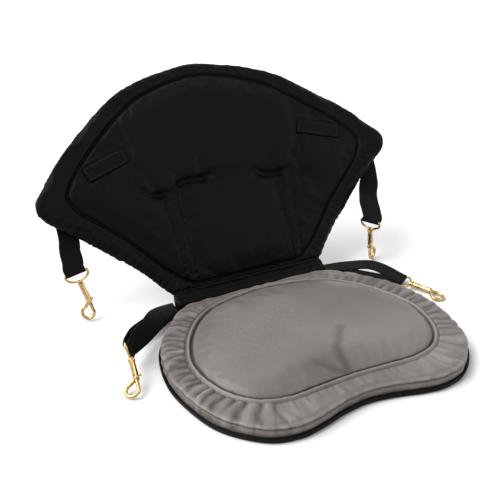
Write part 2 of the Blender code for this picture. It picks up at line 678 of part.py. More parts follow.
def hook_mesh():
    """Collar, bored barrel with its slot, and the hook that curls back to the barrel's axis."""
    rounding = BARREL_RADIUS * 0.2
    barrel = turned("barrel", [(0, BARREL_END), (BARREL_RADIUS - rounding, BARREL_END),
                               (BARREL_RADIUS, BARREL_END - rounding), (BARREL_RADIUS, NECK_END + rounding),
                               (COLLAR_RADIUS, NECK_END), (COLLAR_RADIUS, COLLAR_START + rounding),
                               (COLLAR_RADIUS - rounding, COLLAR_START), (0, COLLAR_START)])
    start = [(-BARREL_RADIUS * 0.30, 0, BARREL_END - HOOK_WIRE * 2.2),
             (-BARREL_RADIUS * 0.62, 0, BARREL_END - HOOK_WIRE * 0.9),
             (-BARREL_RADIUS * 1.35, 0, BARREL_END + HOOK_WIRE * 0.45)]
    turns = np.radians(np.linspace(-112, -360, 13))
    arc = [(HOOK_RADIUS * (math.cos(t) - 1), 0, HOOK_MIDDLE + HOOK_RADIUS * math.sin(t)) for t in turns]
    tip = [(0, 0, HOOK_MIDDLE - HOOK_TIP)]
    bend = as_mesh(wire("hook_wire", start + arc + tip, HOOK_WIRE))
    bore = turned("bore", [(0, BARREL_END + 0.004), (BORE, BARREL_END + 0.004), (BORE, NECK_END),
                           (NECK_BORE, NECK_END), (NECK_BORE, COLLAR_START - 0.001), (0, COLLAR_START - 0.001)])
    slot = slot_cutter()
    return combined("hook", as_mesh(barrel), [("UNION", bend), ("DIFFERENCE", as_mesh(bore)),
                                              ("DIFFERENCE", slot)], BRASS)


def slot_cutter():
    """Block that opens the barrel's wall along the thumb knob's travel."""
    room = KNOB_STEM + GAP
    low = KNOB_PLACE - BOLT_TRAVEL - room
    high = KNOB_PLACE + room
    bm = bmesh.new()
    bmesh.ops.create_cube(bm, size=1.0)
    bmesh.ops.scale(bm, vec=(BARREL_RADIUS, room * 2, high - low), verts=bm.verts)
    bmesh.ops.translate(bm, vec=(BARREL_RADIUS, 0, (low + high) / 2), verts=bm.verts)
    obj = bpy.data.objects.new("slot", mesh_from(bm, "slot"))
    CUTTERS.objects.link(obj)
    return obj


def bolt_mesh():
    """Sliding bolt with the thumb knob on its side."""
    edge = BOLT_RADIUS * 0.2
    body = turned("bolt_body", [(0, BOLT_END), (BOLT_RADIUS - edge, BOLT_END), (BOLT_RADIUS, BOLT_END - edge),
                                (BOLT_RADIUS, BOLT_START), (0, BOLT_START)], 16)
    reach = BARREL_RADIUS + GAP * 2
    knob = turned("knob", [(0, reach + KNOB_HEIGHT), (KNOB_RADIUS * 0.7, reach + KNOB_HEIGHT),
                           (KNOB_RADIUS, reach + KNOB_HEIGHT * 0.65), (KNOB_RADIUS, reach), (KNOB_STEM, reach),
                           (KNOB_STEM, BOLT_RADIUS * 0.4), (0, BOLT_RADIUS * 0.4)], 12)
    knob.rotation_euler = (0, math.pi / 2, 0)
    knob.location = (0, 0, KNOB_PLACE)
    bpy.context.view_layer.update()
    place = knob.matrix_world.copy()
    knob = as_mesh(knob)
    knob.matrix_world = place
    return combined("bolt", as_mesh(body), [("UNION", knob)], BRASS)


def spring_mesh():
    """Coil between the stem's head and the bolt's tail."""
    low = HEAD_END + GAP + SPRING_WIRE
    high = BOLT_START - GAP - SPRING_WIRE
    radius = BORE - GAP - SPRING_WIRE
    count = SPRING_TURNS * SPRING_STEPS
    points = []
    for k in range(count + 1):
        turn = 2 * math.pi * k / SPRING_STEPS
        points.append((radius * math.cos(turn), radius * math.sin(turn), low + (high - low) * k / count))
    coil = wire("coil", points, SPRING_WIRE, sides=0)
    return combined("spring", as_mesh(coil), [], STEEL)


def make_snaps(back_carrier):
    eye, hook, bolt, spring = eye_mesh(), hook_mesh(), bolt_mesh(), spring_mesh()
    for name, strap in {**UPPER_STRAPS, **LOWER_STRAPS}.items():
        upper = name in UPPER_STRAPS
        hook_frame = frame_along(strap["bar"], strap["lie"], strap["knob"])
        for part, frame, meshes in (("eye", eye_frame(strap), {"eye": eye}),
                                    ("hook", hook_frame, {"hook": hook, "bolt": bolt, "spring": spring})):
            axis = bpy.data.objects.new(f"{name}_{part}_axis", None)
            PARTS.objects.link(axis)
            if upper:
                axis.parent = back_carrier
                axis.matrix_parent_inverse = HINGE_FRAME.inverted()
            axis.matrix_basis = frame
            for title, mesh in meshes.items():
                add_object(f"{name}_{title}", mesh, BRASS, axis)


PARTS, CUTTERS = start_scene("kayak_seat")
back_axis = bpy.data.objects.new("back_fold_axis", None)
PARTS.objects.link(back_axis)
back_axis.location = HINGE
back_axis.rotation_euler = (math.pi / 2 - RECLINE, 0, 0)
make_seat()
make_underside()
make_hinge_roll()
make_back(back_axis)
make_tabs(back_axis)
make_straps(back_axis)
make_snaps(back_axis)
bpy.context.view_layer.update()
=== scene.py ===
"""Kayak seat: a gathered grey seat pad, a fan-shaped black back, a sewn hinge, webbing and brass snaps.

Metres, +Z up, +X to the right, the front of the seat to -Y. Every piece stands where its CAD node does.
"""

import json
import math

import bmesh
import bpy
import numpy as np
from bpy.props import FloatProperty, FloatVectorProperty, PointerProperty
from mathutils import Matrix, Vector
from mathutils.bvhtree import BVHTree


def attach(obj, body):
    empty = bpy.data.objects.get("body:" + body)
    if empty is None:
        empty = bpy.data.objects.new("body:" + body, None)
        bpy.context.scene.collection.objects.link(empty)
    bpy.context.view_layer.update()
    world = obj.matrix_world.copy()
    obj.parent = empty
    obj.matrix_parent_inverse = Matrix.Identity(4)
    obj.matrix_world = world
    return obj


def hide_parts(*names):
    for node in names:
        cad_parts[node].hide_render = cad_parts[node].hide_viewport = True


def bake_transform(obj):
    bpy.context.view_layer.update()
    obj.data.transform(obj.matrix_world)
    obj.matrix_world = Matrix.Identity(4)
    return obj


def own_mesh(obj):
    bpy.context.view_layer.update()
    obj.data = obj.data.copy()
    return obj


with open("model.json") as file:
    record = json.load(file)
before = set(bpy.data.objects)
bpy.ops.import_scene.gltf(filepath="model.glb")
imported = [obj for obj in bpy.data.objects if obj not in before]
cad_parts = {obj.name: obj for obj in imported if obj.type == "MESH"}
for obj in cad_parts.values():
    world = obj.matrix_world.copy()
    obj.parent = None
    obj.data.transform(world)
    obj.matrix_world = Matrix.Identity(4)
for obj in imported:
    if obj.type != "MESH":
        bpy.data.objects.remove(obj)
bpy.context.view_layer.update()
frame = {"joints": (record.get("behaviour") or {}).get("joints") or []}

bl_info = {
    "name": "Kayak Seat",
    "version": (1, 0, 0),
    "blender": (4, 5, 0),
    "location": "View3D > Sidebar > Kayak Seat",
    "description": "Builds a folding padded kayak seat with webbing straps and swivel snap hooks",
    "category": "Add Mesh",
}

JOINTS = {joint["name"]: joint for joint in frame["joints"]}
HINGE = Vector(JOINTS["back_fold"]["pos_m"])
RECLINE = math.radians(36.5)
BACK_FRAME = Matrix.Translation(HINGE) @ Matrix.Rotation(math.pi / 2 - RECLINE, 4, "X")

# Half outlines, from the front or bottom middle to the rear or top middle, as shares of half width and length
SEAT_SHAPE = [(0, 0.059), (0.17, 0.045), (0.36, 0.012), (0.517, 0), (0.70, 0.035), (0.88, 0.155),
              (0.965, 0.30), (1, 0.50), (0.93, 0.71), (0.80, 0.845), (0.61, 0.972), (0.50, 0.996), (0.36, 1),
              (0, 1)]
INSET_SHAPE = [(0, 0.019), (0.243, 0.012), (0.45, 0), (0.611, 0.005), (0.785, 0.052), (0.917, 0.155),
               (0.993, 0.304), (1, 0.464), (0.924, 0.623), (0.806, 0.759), (0.64, 0.876), (0.43, 0.951),
               (0, 1)]
BACK_SHAPE = [(0, 0), (0.36, 0), (0.44, 0.012), (0.49, 0.055), (0.58, 0.135), (0.70, 0.225), (0.86, 0.352),
              (0.955, 0.412), (0.998, 0.46), (0.99, 0.515), (0.93, 0.575), (0.82, 0.675), (0.60, 0.826),
              (0.47, 0.898), (0.35, 0.941), (0.20, 0.975), (0, 1)]
PANEL_SHAPE = [(0, 0), (0.34, 0), (0.415, 0.022), (0.515, 0.086), (0.695, 0.239), (0.845, 0.349),
               (0.96, 0.439), (1, 0.507), (0.985, 0.548), (0.908, 0.625), (0.772, 0.724), (0.617, 0.824),
               (0.476, 0.90), (0.33, 0.949), (0.16, 0.985), (0, 1)]

# Straps: the route to the eye's bar, the way of the width at each point, half the distance between the two
# layers, which side they hang on, the way that the knob points, and how far before the bar a slanting strap
# turns square to it, so that its edge stays clear of the eye's corner
STRAPS = {
    "upper_left": dict(route=[(-0.2190, 0.2025, 0.0880), (-0.2180, 0.1985, 0.0760)],
                       widths=[(0.97, -0.22, 0.1), (0.94, -0.30, 0.16)], halves=[0.0026, 0.0034], side=-1,
                       knob=(0.91, -0.337, 0.241), square=0.006),
    "upper_right": dict(route=[(0.2120, 0.1960, 0.0860), (0.2030, 0.1780, 0.0740)],
                        widths=[(0.85, -0.45, 0.10), (0.62, -0.74, 0.12)], halves=[0.0070, 0.0110], side=1,
                        knob=(-0.86, -0.50, 0.0), square=0.006),
    "lower_left": dict(route=[(-0.1350, 0.1300, 0.0130), (-0.1640, 0.1010, 0.0190)],
                       widths=[(-0.45, 0.85, 0.25), (-0.45, 0.45, 0.75)], halves=[0.0030, 0.0060], side=-1,
                       knob=(0.896, -0.263, 0.357), square=0.006),
    "lower_right": dict(route=[(0.1370, 0.1310, 0.0105), (0.1640, 0.1080, 0.0115)],
                        widths=[(0.45, 0.89, 0.0), (0.66, 0.75, 0.0)], halves=[0.0050, 0.0090], side=1,
                        knob=(0.845, 0.535, 0.0)),
}

# Creases in the middle of the seat: line, width and depth
SEAT_CREASES = [([(0.0, -0.085), (0.004, -0.052), (0.030, -0.020)], 0.006, 0.0011),
                ([(-0.006, -0.085), (-0.030, -0.064)], 0.004, 0.0008)]
# Creases and stitched lines on the front of the back, across and up from the hinge: line, width and depth
BACK_CREASES = [
    ([(-0.116, 0.140), (-0.106, 0.131), (-0.095, 0.131), (-0.082, 0.131), (-0.071, 0.133), (-0.063, 0.141)],
     0.0045, 0.0030),
    ([(-0.063, 0.141), (-0.052, 0.144), (-0.034, 0.143), (-0.018, 0.146), (-0.006, 0.151)], 0.0045, 0.0028),
    ([(0.044, 0.142), (0.052, 0.136), (0.064, 0.131), (0.078, 0.131), (0.092, 0.134)], 0.0045, 0.0030),
    ([(0.122, 0.176), (0.117, 0.152), (0.110, 0.130), (0.105, 0.108)], 0.0035, 0.0010),
    ([(-0.120, 0.176), (-0.124, 0.160), (-0.122, 0.148), (-0.114, 0.139)], 0.0040, 0.0005),
]
DIMPLES = [(-0.092, 0.131, 0.0034), (-0.052, 0.143, 0.0022), (-0.030, 0.143, 0.0030), (0.058, 0.134, 0.0026),
           (0.080, 0.131, 0.0034), (0.112, 0.124, 0.0018)]
RIGHT_CHANNELS = [[(0.071, 0.126), (0.071, 0.070), (0.071, 0.016)],
                  [(0.091, 0.122), (0.087, 0.068), (0.084, 0.018)]]
CHANNELS = [[(side * x, y) for x, y in line] for side in (-1, 1) for line in RIGHT_CHANNELS]

# The raised panels, where the seat's ends before the rear and where the back's starts above the hinge
INSET_WIDTH, INSET_DEPTH, INSET_FROM_REAR = 0.288, 0.2115, 0.0145
PANEL_WIDTH, PANEL_HEIGHT, PANEL_START = 0.412, 0.272, 0.013
TAB_ACROSS, TAB_UP, TAB_TILT = 0.153, 0.180, math.radians(19)
TAB_LENGTH, TAB_WIDTH, TAB_THICKNESS = 0.061, 0.020, 0.0014
ROLL_RADIUS, ROLL_HALF, ROLL_PLACE, ROLL_HEIGHT = 0.0087, 0.1080, 0.1441, 0.0130
WING_BEND_UP = 0.150  # the wings bend fully from this height above the hinge
VOXEL = 0.0042
SWELL_STEPS, SWELL_CAP = 20, 0.004
SWELL_SETTINGS = dict(quality=5, mass=0.25, tension_stiffness=12, compression_stiffness=8, shear_stiffness=4,
                      bending_stiffness=0.3, use_pressure=True, uniform_pressure_force=4.0, shrink_min=-0.02)
FOLD_DEPTH = 0.0014  # a fold this deep is shaded fully
LAYER, LAYER_GAP = 0.0014, 0.0003  # one layer of a sewn strap and the gap between two
NEAR_BAR_HALF, BAR_HALF = 0.0027, 0.0025  # half the distance between the layers before and at the bar
STITCH_LENGTH, STITCH_WIDTH, TAB_STITCH, STRAP_STITCH = 0.0026, 0.0006, 0.0034, 0.0032
UPPER_SEWN_ACROSS, UPPER_SEWN_UP, UPPER_SEWN_DEPTH = 0.218, (0.150, 0.125, 0.100), -0.01615


def linear(code):
    """An sRGB hex value as linear colour."""
    values = [int(code[k:k + 2], 16) / 255 for k in (1, 3, 5)]
    return tuple(v / 12.92 if v <= 0.04045 else ((v + 0.055) / 1.055) ** 2.4 for v in values)


class KayakSeatSizes(bpy.types.PropertyGroup):
    """Sizes of the pads, the webbing and the snaps."""

    seat_width: FloatProperty(name="Seat Width", description="Width of the seat pad",
                              default=0.356, unit="LENGTH")
    seat_depth: FloatProperty(name="Seat Depth", description="Length of the seat pad, front to rear",
                              default=0.270, unit="LENGTH")
    seat_rim: FloatProperty(name="Seat Rim Height", description="Height of the gathered rim",
                            default=0.022, unit="LENGTH")
    seat_crown: FloatProperty(name="Seat Crown Height", description="Height of the middle panel",
                              default=0.0305, unit="LENGTH")
    back_width: FloatProperty(name="Back Width", description="Width across the wings",
                              default=0.494, unit="LENGTH")
    back_height: FloatProperty(name="Back Height", description="Height above the hinge",
                               default=0.305, unit="LENGTH")
    back_thickness: FloatProperty(name="Back Thickness", description="Thickness of the back's rim",
                                  default=0.014, unit="LENGTH")
    wing_wrap: FloatProperty(name="Wing Wrap", description="How far the wings bend forwards",
                             default=0.029, unit="LENGTH")
    gather_height: FloatProperty(name="Gather Height", description="Height of the puckers round the rims",
                                 default=0.0032, unit="LENGTH")
    webbing_width: FloatProperty(name="Webbing Width", description="Width of the straps",
                                 default=0.025, unit="LENGTH")
    webbing_thickness: FloatProperty(name="Webbing Thickness", description="Thickness of a strap's layer",
                                     default=0.0013, unit="LENGTH")
    wire_radius: FloatProperty(name="Hook Wire Radius", description="Half the thickness of the snap's hook",
                               default=0.0022, unit="LENGTH")


class KayakSeatColours(bpy.types.PropertyGroup):
    """Colours of the cloth, the webbing and the metal."""

    grey_cloth: FloatVectorProperty(name="Grey Cloth", description="Top of the seat pad",
                                    subtype="COLOR", default=linear("#706a66"))
    black_cloth: FloatVectorProperty(name="Black Cloth", description="Back, hinge and underside",
                                     subtype="COLOR", default=linear("#080809"))
    webbing: FloatVectorProperty(name="Webbing", description="Straps and tabs",
                                 subtype="COLOR", default=linear("#080809"))
    brass: FloatVectorProperty(name="Brass", description="Snap hooks",
                               subtype="COLOR", default=linear("#d4b47e"))
    floor: FloatVectorProperty(name="Floor", description="Studio floor and backdrop",
                               subtype="COLOR", default=linear("#fafafa"))


def sizes():
    return bpy.context.scene.kayak_seat_sizes


def colours():
    return bpy.context.scene.kayak_seat_colours


# Materials


def add_node(tree, kind, settings=None, links=None):
    """A node with its settings and links; a number as key is the place of an input."""
    node = tree.nodes.new(kind)
    for key, value in (settings or {}).items():
        if isinstance(key, str) and key not in node.inputs:
            setattr(node, key, value)
        else:
            node.inputs[key].default_value = value
    for key, source in (links or {}).items():
        tree.links.new(source, node.inputs[key])
    return node


def started(name, **values):
    """A new material with its shader's own values, or None where it's made already."""
    if name in bpy.data.materials:
        return bpy.data.materials[name], None, None
    made = bpy.data.materials.new(name)
    made.use_nodes = True
    tree = made.node_tree
    shader = tree.nodes["Principled BSDF"]
    for key, value in values.items():
        shader.inputs[key.replace("_", " ")].default_value = value
    return made, tree, shader


def tinted(tree, shader, colour, vector, scale, low, high):
    """Cloudy changes of a colour's brightness over the surface."""
    noise = add_node(tree, "ShaderNodeTexNoise", {"Scale": scale, "Detail": 4.0, "Roughness": 0.6},
                     {"Vector": vector})
    ramp = add_node(tree, "ShaderNodeValToRGB", {}, {"Fac": noise.outputs["Fac"]})
    ramp.color_ramp.elements[0].position = 0.3
    ramp.color_ramp.elements[1].position = 0.7
    ramp.color_ramp.elements[0].color = (*(c * low for c in colour), 1)
    ramp.color_ramp.elements[1].color = (*(c * high for c in colour), 1)
    tree.links.new(ramp.outputs["Color"], shader.inputs["Base Color"])
    return ramp


def threads(tree, pitch, run):
    """Height of a weave: uneven threads one pitch apart, long both ways, on the cloth's own map."""
    flat = add_node(tree, "ShaderNodeUVMap", {"uv_map": "cloth"})
    heights = []
    for scale in ((1 / pitch, 1 / run, 1), (1 / run, 1 / pitch, 1)):
        lay = add_node(tree, "ShaderNodeMapping", {"Scale": scale}, {"Vector": flat.outputs["UV"]})
        heights.append(add_node(tree, "ShaderNodeTexNoise",
                                {"noise_dimensions": "2D", "Scale": 1.0, "Detail": 1.0},
                                {"Vector": lay.outputs["Vector"]}))
    return add_node(tree, "ShaderNodeMath", {"operation": "ADD"},
                    {0: heights[0].outputs["Fac"], 1: heights[1].outputs["Fac"]})


def coated_nylon(name, colour, roughness, gloss, low, high):
    """Nylon pack cloth, plain woven and coated: a soft satin gloss and fine crossing threads.

    Its threads are 0.4 mm apart; they are drawn 1.1 mm apart so that they show."""
    made, tree, shader = started(name, Roughness=roughness, Specular_IOR_Level=gloss, IOR=1.5)
    if tree is None:
        return made
    place = add_node(tree, "ShaderNodeTexCoord")
    cloudy = tinted(tree, shader, colour, place.outputs["Object"], 22.0, low, high)
    # Painted shade and painted highlight: the colour is scaled by the fold depth kept on the pad, from 0.42
    # in the deepest valleys to 1.42 on the highest crests, and 0.92 where no depth is kept.
    fold = add_node(tree, "ShaderNodeAttribute", {"attribute_name": "fold"})
    fold_shade = add_node(tree, "ShaderNodeMapRange", {"From Min": -1.0, "To Min": 0.42, "To Max": 1.42},
                    {"Value": fold.outputs["Fac"]})
    shaded = add_node(tree, "ShaderNodeVectorMath", {"operation": "SCALE"},
                      {0: cloudy.outputs["Color"], "Scale": fold_shade.outputs["Result"]})
    tree.links.new(shaded.outputs["Vector"], shader.inputs["Base Color"])
    weave = threads(tree, 0.0011, 0.011)
    creases = add_node(tree, "ShaderNodeTexNoise", {"Scale": 60.0, "Detail": 3.0, "Distortion": 0.6},
                       {"Vector": place.outputs["Object"]})
    soft = add_node(tree, "ShaderNodeBump", {"Strength": 0.35, "Distance": 0.0015},
                    {"Height": creases.outputs["Fac"]})
    fine = add_node(tree, "ShaderNodeBump", {"Strength": 0.45, "Distance": 0.0004},
                    {"Height": weave.outputs["Value"], "Normal": soft.outputs["Normal"]})
    tree.links.new(fine.outputs["Normal"], shader.inputs["Normal"])
    return made


def webbing_material():
    """Polypropylene webbing, flat woven: ribs across its length, matt with a faint shine on the ribs.

    The ribs are 1.3 mm apart; they are drawn 1.8 mm apart."""
    made, tree, shader = started("woven_polypropylene", Roughness=0.6, Specular_IOR_Level=0.07, IOR=1.49)
    if tree is None:
        return made
    flat = add_node(tree, "ShaderNodeUVMap", {"uv_map": "cloth"})
    tinted(tree, shader, tuple(colours().webbing), flat.outputs["UV"], 400.0, 0.7, 1.5)
    ribs, rows = (add_node(tree, "ShaderNodeTexWave", {"wave_type": "BANDS", "bands_direction": way,
                                                       "Scale": math.pi / 10 / apart, "Distortion": uneven},
                           {"Vector": flat.outputs["UV"]})
                  for way, apart, uneven in (("X", 0.0018, 0.3), ("Y", 0.0036, 0.2)))
    height = add_node(tree, "ShaderNodeMath", {"operation": "ADD"},
                      {0: ribs.outputs["Fac"], 1: rows.outputs["Fac"]})
    bump = add_node(tree, "ShaderNodeBump", {"Strength": 0.5, "Distance": 0.0004},
                    {"Height": height.outputs["Value"]})
    tree.links.new(bump.outputs["Normal"], shader.inputs["Normal"])
    return made


def brass_material():
    """Solid brass, cast, tumbled and polished: mirror highlights, handling marks, and a colour that darkens
    in clouds down to a third of itself.
    """
    made, tree, shader = started("polished_brass", Metallic=1.0, Roughness=0.2)
    if tree is None:
        return made
    place = add_node(tree, "ShaderNodeTexCoord")
    tinted(tree, shader, tuple(colours().brass), place.outputs["Object"], 170.0, 0.34, 1.10)
    marks = add_node(tree, "ShaderNodeTexNoise", {"Scale": 500.0, "Detail": 3.0},
                     {"Vector": place.outputs["Object"]})
    gloss = add_node(tree, "ShaderNodeMapRange", {"To Min": 0.08, "To Max": 0.26},
                     {"Value": marks.outputs["Fac"]})
    tree.links.new(gloss.outputs["Result"], shader.inputs["Roughness"])
    bump = add_node(tree, "ShaderNodeBump", {"Strength": 0.15, "Distance": 0.0002},
                    {"Height": marks.outputs["Fac"]})
    tree.links.new(bump.outputs["Normal"], shader.inputs["Normal"])
    return made


def cloudy_material(name, colour, scale, low, high, **values):
    """A material whose colour varies in small clouds."""
    made, tree, shader = started(name, **values)
    if tree is not None:
        place = add_node(tree, "ShaderNodeTexCoord")
        tinted(tree, shader, colour, place.outputs["Object"], scale, low, high)
    return made


def thread_material():
    """Bonded polyester sewing thread: tight twist, a soft shine that catches the light on each stitch."""
    return cloudy_material("bonded_thread", linear("#161617"), 900.0, 0.8, 1.3, Roughness=0.45,
                           Specular_IOR_Level=0.4, IOR=1.5)


def spring_material():
    """Spring steel wire, drawn and left bright."""
    return cloudy_material("drawn_steel", linear("#b8b8b8"), 700.0, 0.8, 1.0, Metallic=1.0, Roughness=0.3)


def grey_material():
    return coated_nylon("coated_grey_nylon", tuple(colours().grey_cloth), 0.42, 0.4, 0.92, 1.08)


def black_material():
    return coated_nylon("coated_black_nylon", tuple(colours().black_cloth), 0.46, 0.07, 0.80, 1.20)


# Meshes


def placed_ring(verts, order, points):
    for vert in verts:
        vert.co = points[vert[order]]


def skin(rings, top=None, bottom=None, closed=False):
    """A surface through rings of equal count, by extruding the first one; its ends close in a pole each."""
    bm = bmesh.new()
    order = bm.verts.layers.int.new("order")
    made = bmesh.ops.create_circle(bm, segments=len(rings[0]), radius=1.0)
    bm.verts.ensure_lookup_table()
    for k, vert in enumerate(made["verts"]):
        vert[order] = k
    placed_ring(made["verts"], order, rings[0])
    first = edges = bm.edges[:]
    for ring in rings[1:]:
        grown = bmesh.ops.extrude_edge_only(bm, edges=edges)["geom"]
        edges = [g for g in grown if isinstance(g, bmesh.types.BMEdge)]
        placed_ring([g for g in grown if isinstance(g, bmesh.types.BMVert)], order, ring)
    if closed:
        bmesh.ops.bridge_loops(bm, edges=first + edges)
    for pole, line in ((bottom, first), (top, edges)):
        if pole is not None:
            cap = bmesh.ops.contextual_create(bm, geom=line)["faces"]
            tip = bmesh.ops.poke(bm, faces=cap)["verts"][0]
            tip.co = pole
    bmesh.ops.recalc_face_normals(bm, faces=bm.faces)
    return bm


def new_object(name, bm):
    """A smooth-shaded object from a bmesh."""
    mesh = bpy.data.meshes.new(name)
    bm.to_mesh(mesh)
    bm.free()
    mesh.shade_smooth()
    return placed(name, mesh)


def placed(name, data):
    """A new object of the scene."""
    obj = bpy.data.objects.new(name, data)
    bpy.context.scene.collection.objects.link(obj)
    return obj


def modifier(obj, kind, **values):
    """A new modifier with its settings."""
    made = obj.modifiers.new(kind.lower(), kind)
    for key, value in values.items():
        setattr(made, key, value)
    return made


def settled(obj):
    """Applies the object's modifiers to its mesh."""
    mesh = bpy.data.meshes.new_from_object(obj.evaluated_get(bpy.context.evaluated_depsgraph_get()))
    obj.modifiers.clear()
    old = obj.data
    obj.data = mesh
    mesh.name = obj.name
    bpy.data.meshes.remove(old)
    return obj


def dressed(obj, finish, body=None, nodes=()):
    """Gives a piece its material and body, and hides the CAD nodes that it stands for."""
    obj.data.materials.clear()
    obj.data.materials.append(finish)
    if body:
        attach(obj, body)
    if nodes:
        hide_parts(*nodes)
    return obj


def positions(mesh, attribute="co"):
    values = np.empty(len(mesh.vertices) * 3)
    mesh.vertices.foreach_get(attribute, values)
    return values.reshape(-1, 3)


def move_points(obj, points):
    obj.data.vertices.foreach_set("co", np.ascontiguousarray(points).ravel())
    obj.data.update()


def paint_fold_shade(obj, height):
    """Keeps the depth of the folds with the cloth for painted light: crests get a painted highlight and
    valleys painted shade.
    """
    layer = obj.data.attributes.new("fold", "FLOAT", "POINT")
    layer.data.foreach_set("value", np.clip(height / FOLD_DEPTH, -1, 1))


def lay_cloth(obj):
    """The cloth's own map in metres: each face lies along the two axes that it faces least."""
    mesh = obj.data
    layer = mesh.uv_layers.new(name="cloth")
    points = positions(mesh)
    corner = np.empty(len(mesh.loops), int)
    mesh.loops.foreach_get("vertex_index", corner)
    normal = np.empty(len(mesh.polygons) * 3)
    mesh.polygons.foreach_get("normal", normal)
    total = np.empty(len(mesh.polygons), int)
    mesh.polygons.foreach_get("loop_total", total)
    facing = np.repeat(np.abs(normal.reshape(-1, 3)).argmax(1), total)
    spot = points[corner]
    upright = np.where((facing == 1)[:, None], spot[:, ::2], spot[:, 1:])
    flat = np.where((facing == 2)[:, None], spot[:, :2], upright)
    layer.data.foreach_set("uv", flat.ravel())


# Outlines and seams


def rounded_line(points, steps):
    """Smooth closed line through points."""
    found = []
    for i in range(len(points)):
        a, b, c, d = (points[(i + k) % len(points)] for k in (-1, 0, 1, 2))
        for t in np.linspace(0, 1, steps, endpoint=False):
            found.append(0.5 * (2 * b + (c - a) * t + (2 * a - 5 * b + 4 * c - d) * t**2
                                + (3 * b - a - 3 * c + d) * t**3))
    return np.array(found)


def run_along(points):
    """How far along its line each point lies."""
    return np.concatenate([[0], np.cumsum(np.linalg.norm(np.diff(points, axis=0), axis=1))])


def evenly(line, count):
    """The closed line with a number of points at even distances."""
    closed = np.vstack([line, line[:1]])
    along = run_along(closed)
    at = np.linspace(0, along[-1], count, endpoint=False)
    return np.c_[np.interp(at, along, closed[:, 0]), np.interp(at, along, closed[:, 1])]


def outline(shape, width, length, start, count):
    half = [(x * width / 2, start + y * length) for x, y in shape]
    points = np.array(half + [(-x, y) for x, y in half[-2:0:-1]])
    return evenly(rounded_line(points, 12), count)


def reach_towards(points, line, middle):
    """The directions of points seen from the middle, and how far away a line round it lies in each."""
    angles = np.arctan2(*(points - middle).T[::-1])
    own = np.arctan2(*(line - middle).T[::-1])
    order = np.argsort(own)
    far = np.linalg.norm(line - middle, axis=1)[order]
    return angles, np.interp(angles, own[order], far, period=2 * math.pi)


def matched(inner, outer, middle):
    """Points of the inner line in the directions of the outer line's points, seen from the middle."""
    angles, reach = reach_towards(outer, inner, middle)
    return middle + np.c_[np.cos(angles), np.sin(angles)] * reach[:, None]


def drawn_in(line, distance):
    along = np.roll(line, -1, axis=0) - np.roll(line, 1, axis=0)
    along /= np.linalg.norm(along, axis=1)[:, None]
    return line - np.c_[along[:, 1], -along[:, 0]] * distance


def ring(line, height):
    return np.c_[line, np.full(len(line), height)]


def rings_in(line, *rows):
    """A ring for each pair of a distance inside the line and a height."""
    return [ring(drawn_in(line, inward), height) for inward, height in rows]


def rings_shrunk(line, middle, *rows):
    """A ring for each pair of a share of the line's size and a height."""
    return [ring(middle + (line - middle) * share, height) for share, height in rows]


def measured(points, line, closed=True):
    """Distance of each point from a line and how far along the line its nearest place is."""
    starts = line if closed else line[:-1]
    ends = np.roll(line, -1, axis=0) if closed else line[1:]
    run = ends - starts
    length = np.linalg.norm(run, axis=1)
    before = np.concatenate([[0], np.cumsum(length)[:-1]])
    distance = np.empty(len(points))
    along = np.empty(len(points))
    for k in range(0, len(points), 4000):
        away = points[k:k + 4000, None] - starts
        share = np.clip((away * run).sum(2) / length**2, 0, 1)
        gap = np.linalg.norm(away - run * share[..., None], axis=2)
        nearest = gap.argmin(1)
        row = np.arange(len(nearest))
        distance[k:k + 4000] = gap[row, nearest]
        along[k:k + 4000] = before[nearest] + share[row, nearest] * length[nearest]
    return distance, along


def outside(points, line, middle):
    """Whether each point lies outside a line that goes once round the middle."""
    return np.linalg.norm(points - middle, axis=1) > reach_towards(points, line, middle)[1]


def beside(points, line):
    """Distance of each point from an open line."""
    return measured(points, np.array(line), closed=False)[0]


def bell(distance, width):
    """1 at no distance, falling to 0 further away."""
    return np.exp(-(distance / width) ** 2)


def eased(value, low, high):
    t = np.clip((value - low) / (high - low), 0, 1)
    return t * t * (3 - 2 * t)


def gathers(along, length, pitch, seed):
    """Irregular puckers along a seam: 0 at each pinch and up to 1 between two."""
    rng = np.random.default_rng(seed)
    count = int(length / pitch)
    steps = 0.55 + 0.9 * rng.random(count)
    marks = np.concatenate([[0], np.cumsum(steps)]) * length / steps.sum()
    heights = 0.45 + 0.55 * rng.random(count)
    k = np.clip(np.searchsorted(marks, along % length, side="right") - 1, 0, count - 1)
    share = (along % length - marks[k]) / (marks[k + 1] - marks[k])
    return np.sin(math.pi * share) ** 0.7 * heights[k]


def rippled(flat, rate, seed):
    """Gentle unevenness of stuffed cloth, from -1 to 1."""
    rng = np.random.default_rng(seed)
    total = np.zeros(len(flat))
    for _ in range(6):
        way = rng.normal(size=2)
        way *= rate * (0.6 + 0.8 * rng.random()) / np.linalg.norm(way)
        total += np.sin(flat @ way + 6.3 * rng.random() + 1.3 * np.sin(flat @ way[::-1] * 0.6))
    return total / 3.5


# Pads


def swollen(obj, held):
    """Lets a pad's cover swell on its filling while its seams are held, then takes the shape as it is."""
    start = positions(obj.data).copy()
    group = obj.vertex_groups.new(name="seams")
    for k in np.nonzero(held > 0.01)[0]:
        group.add([int(k)], float(held[k]), "REPLACE")
    cloth = modifier(obj, "CLOTH")
    for key, value in SWELL_SETTINGS.items():
        setattr(cloth.settings, key, value)
    cloth.settings.vertex_group_mass = group.name
    cloth.settings.effector_weights.gravity = 0
    scene = bpy.context.scene
    scene.frame_start = 1
    scene.frame_end = SWELL_STEPS
    for number in range(1, SWELL_STEPS + 1):
        scene.frame_set(number)
    mesh = bpy.data.meshes.new_from_object(obj.evaluated_get(bpy.context.evaluated_depsgraph_get()))
    moved = positions(mesh)
    bpy.data.meshes.remove(mesh)
    obj.modifiers.remove(cloth)
    obj.vertex_groups.clear()
    scene.frame_set(1)
    step = moved - start
    far = np.linalg.norm(step, axis=1)[:, None]
    move_points(obj, start + step * np.minimum(1, SWELL_CAP / np.maximum(far, 1e-9)))


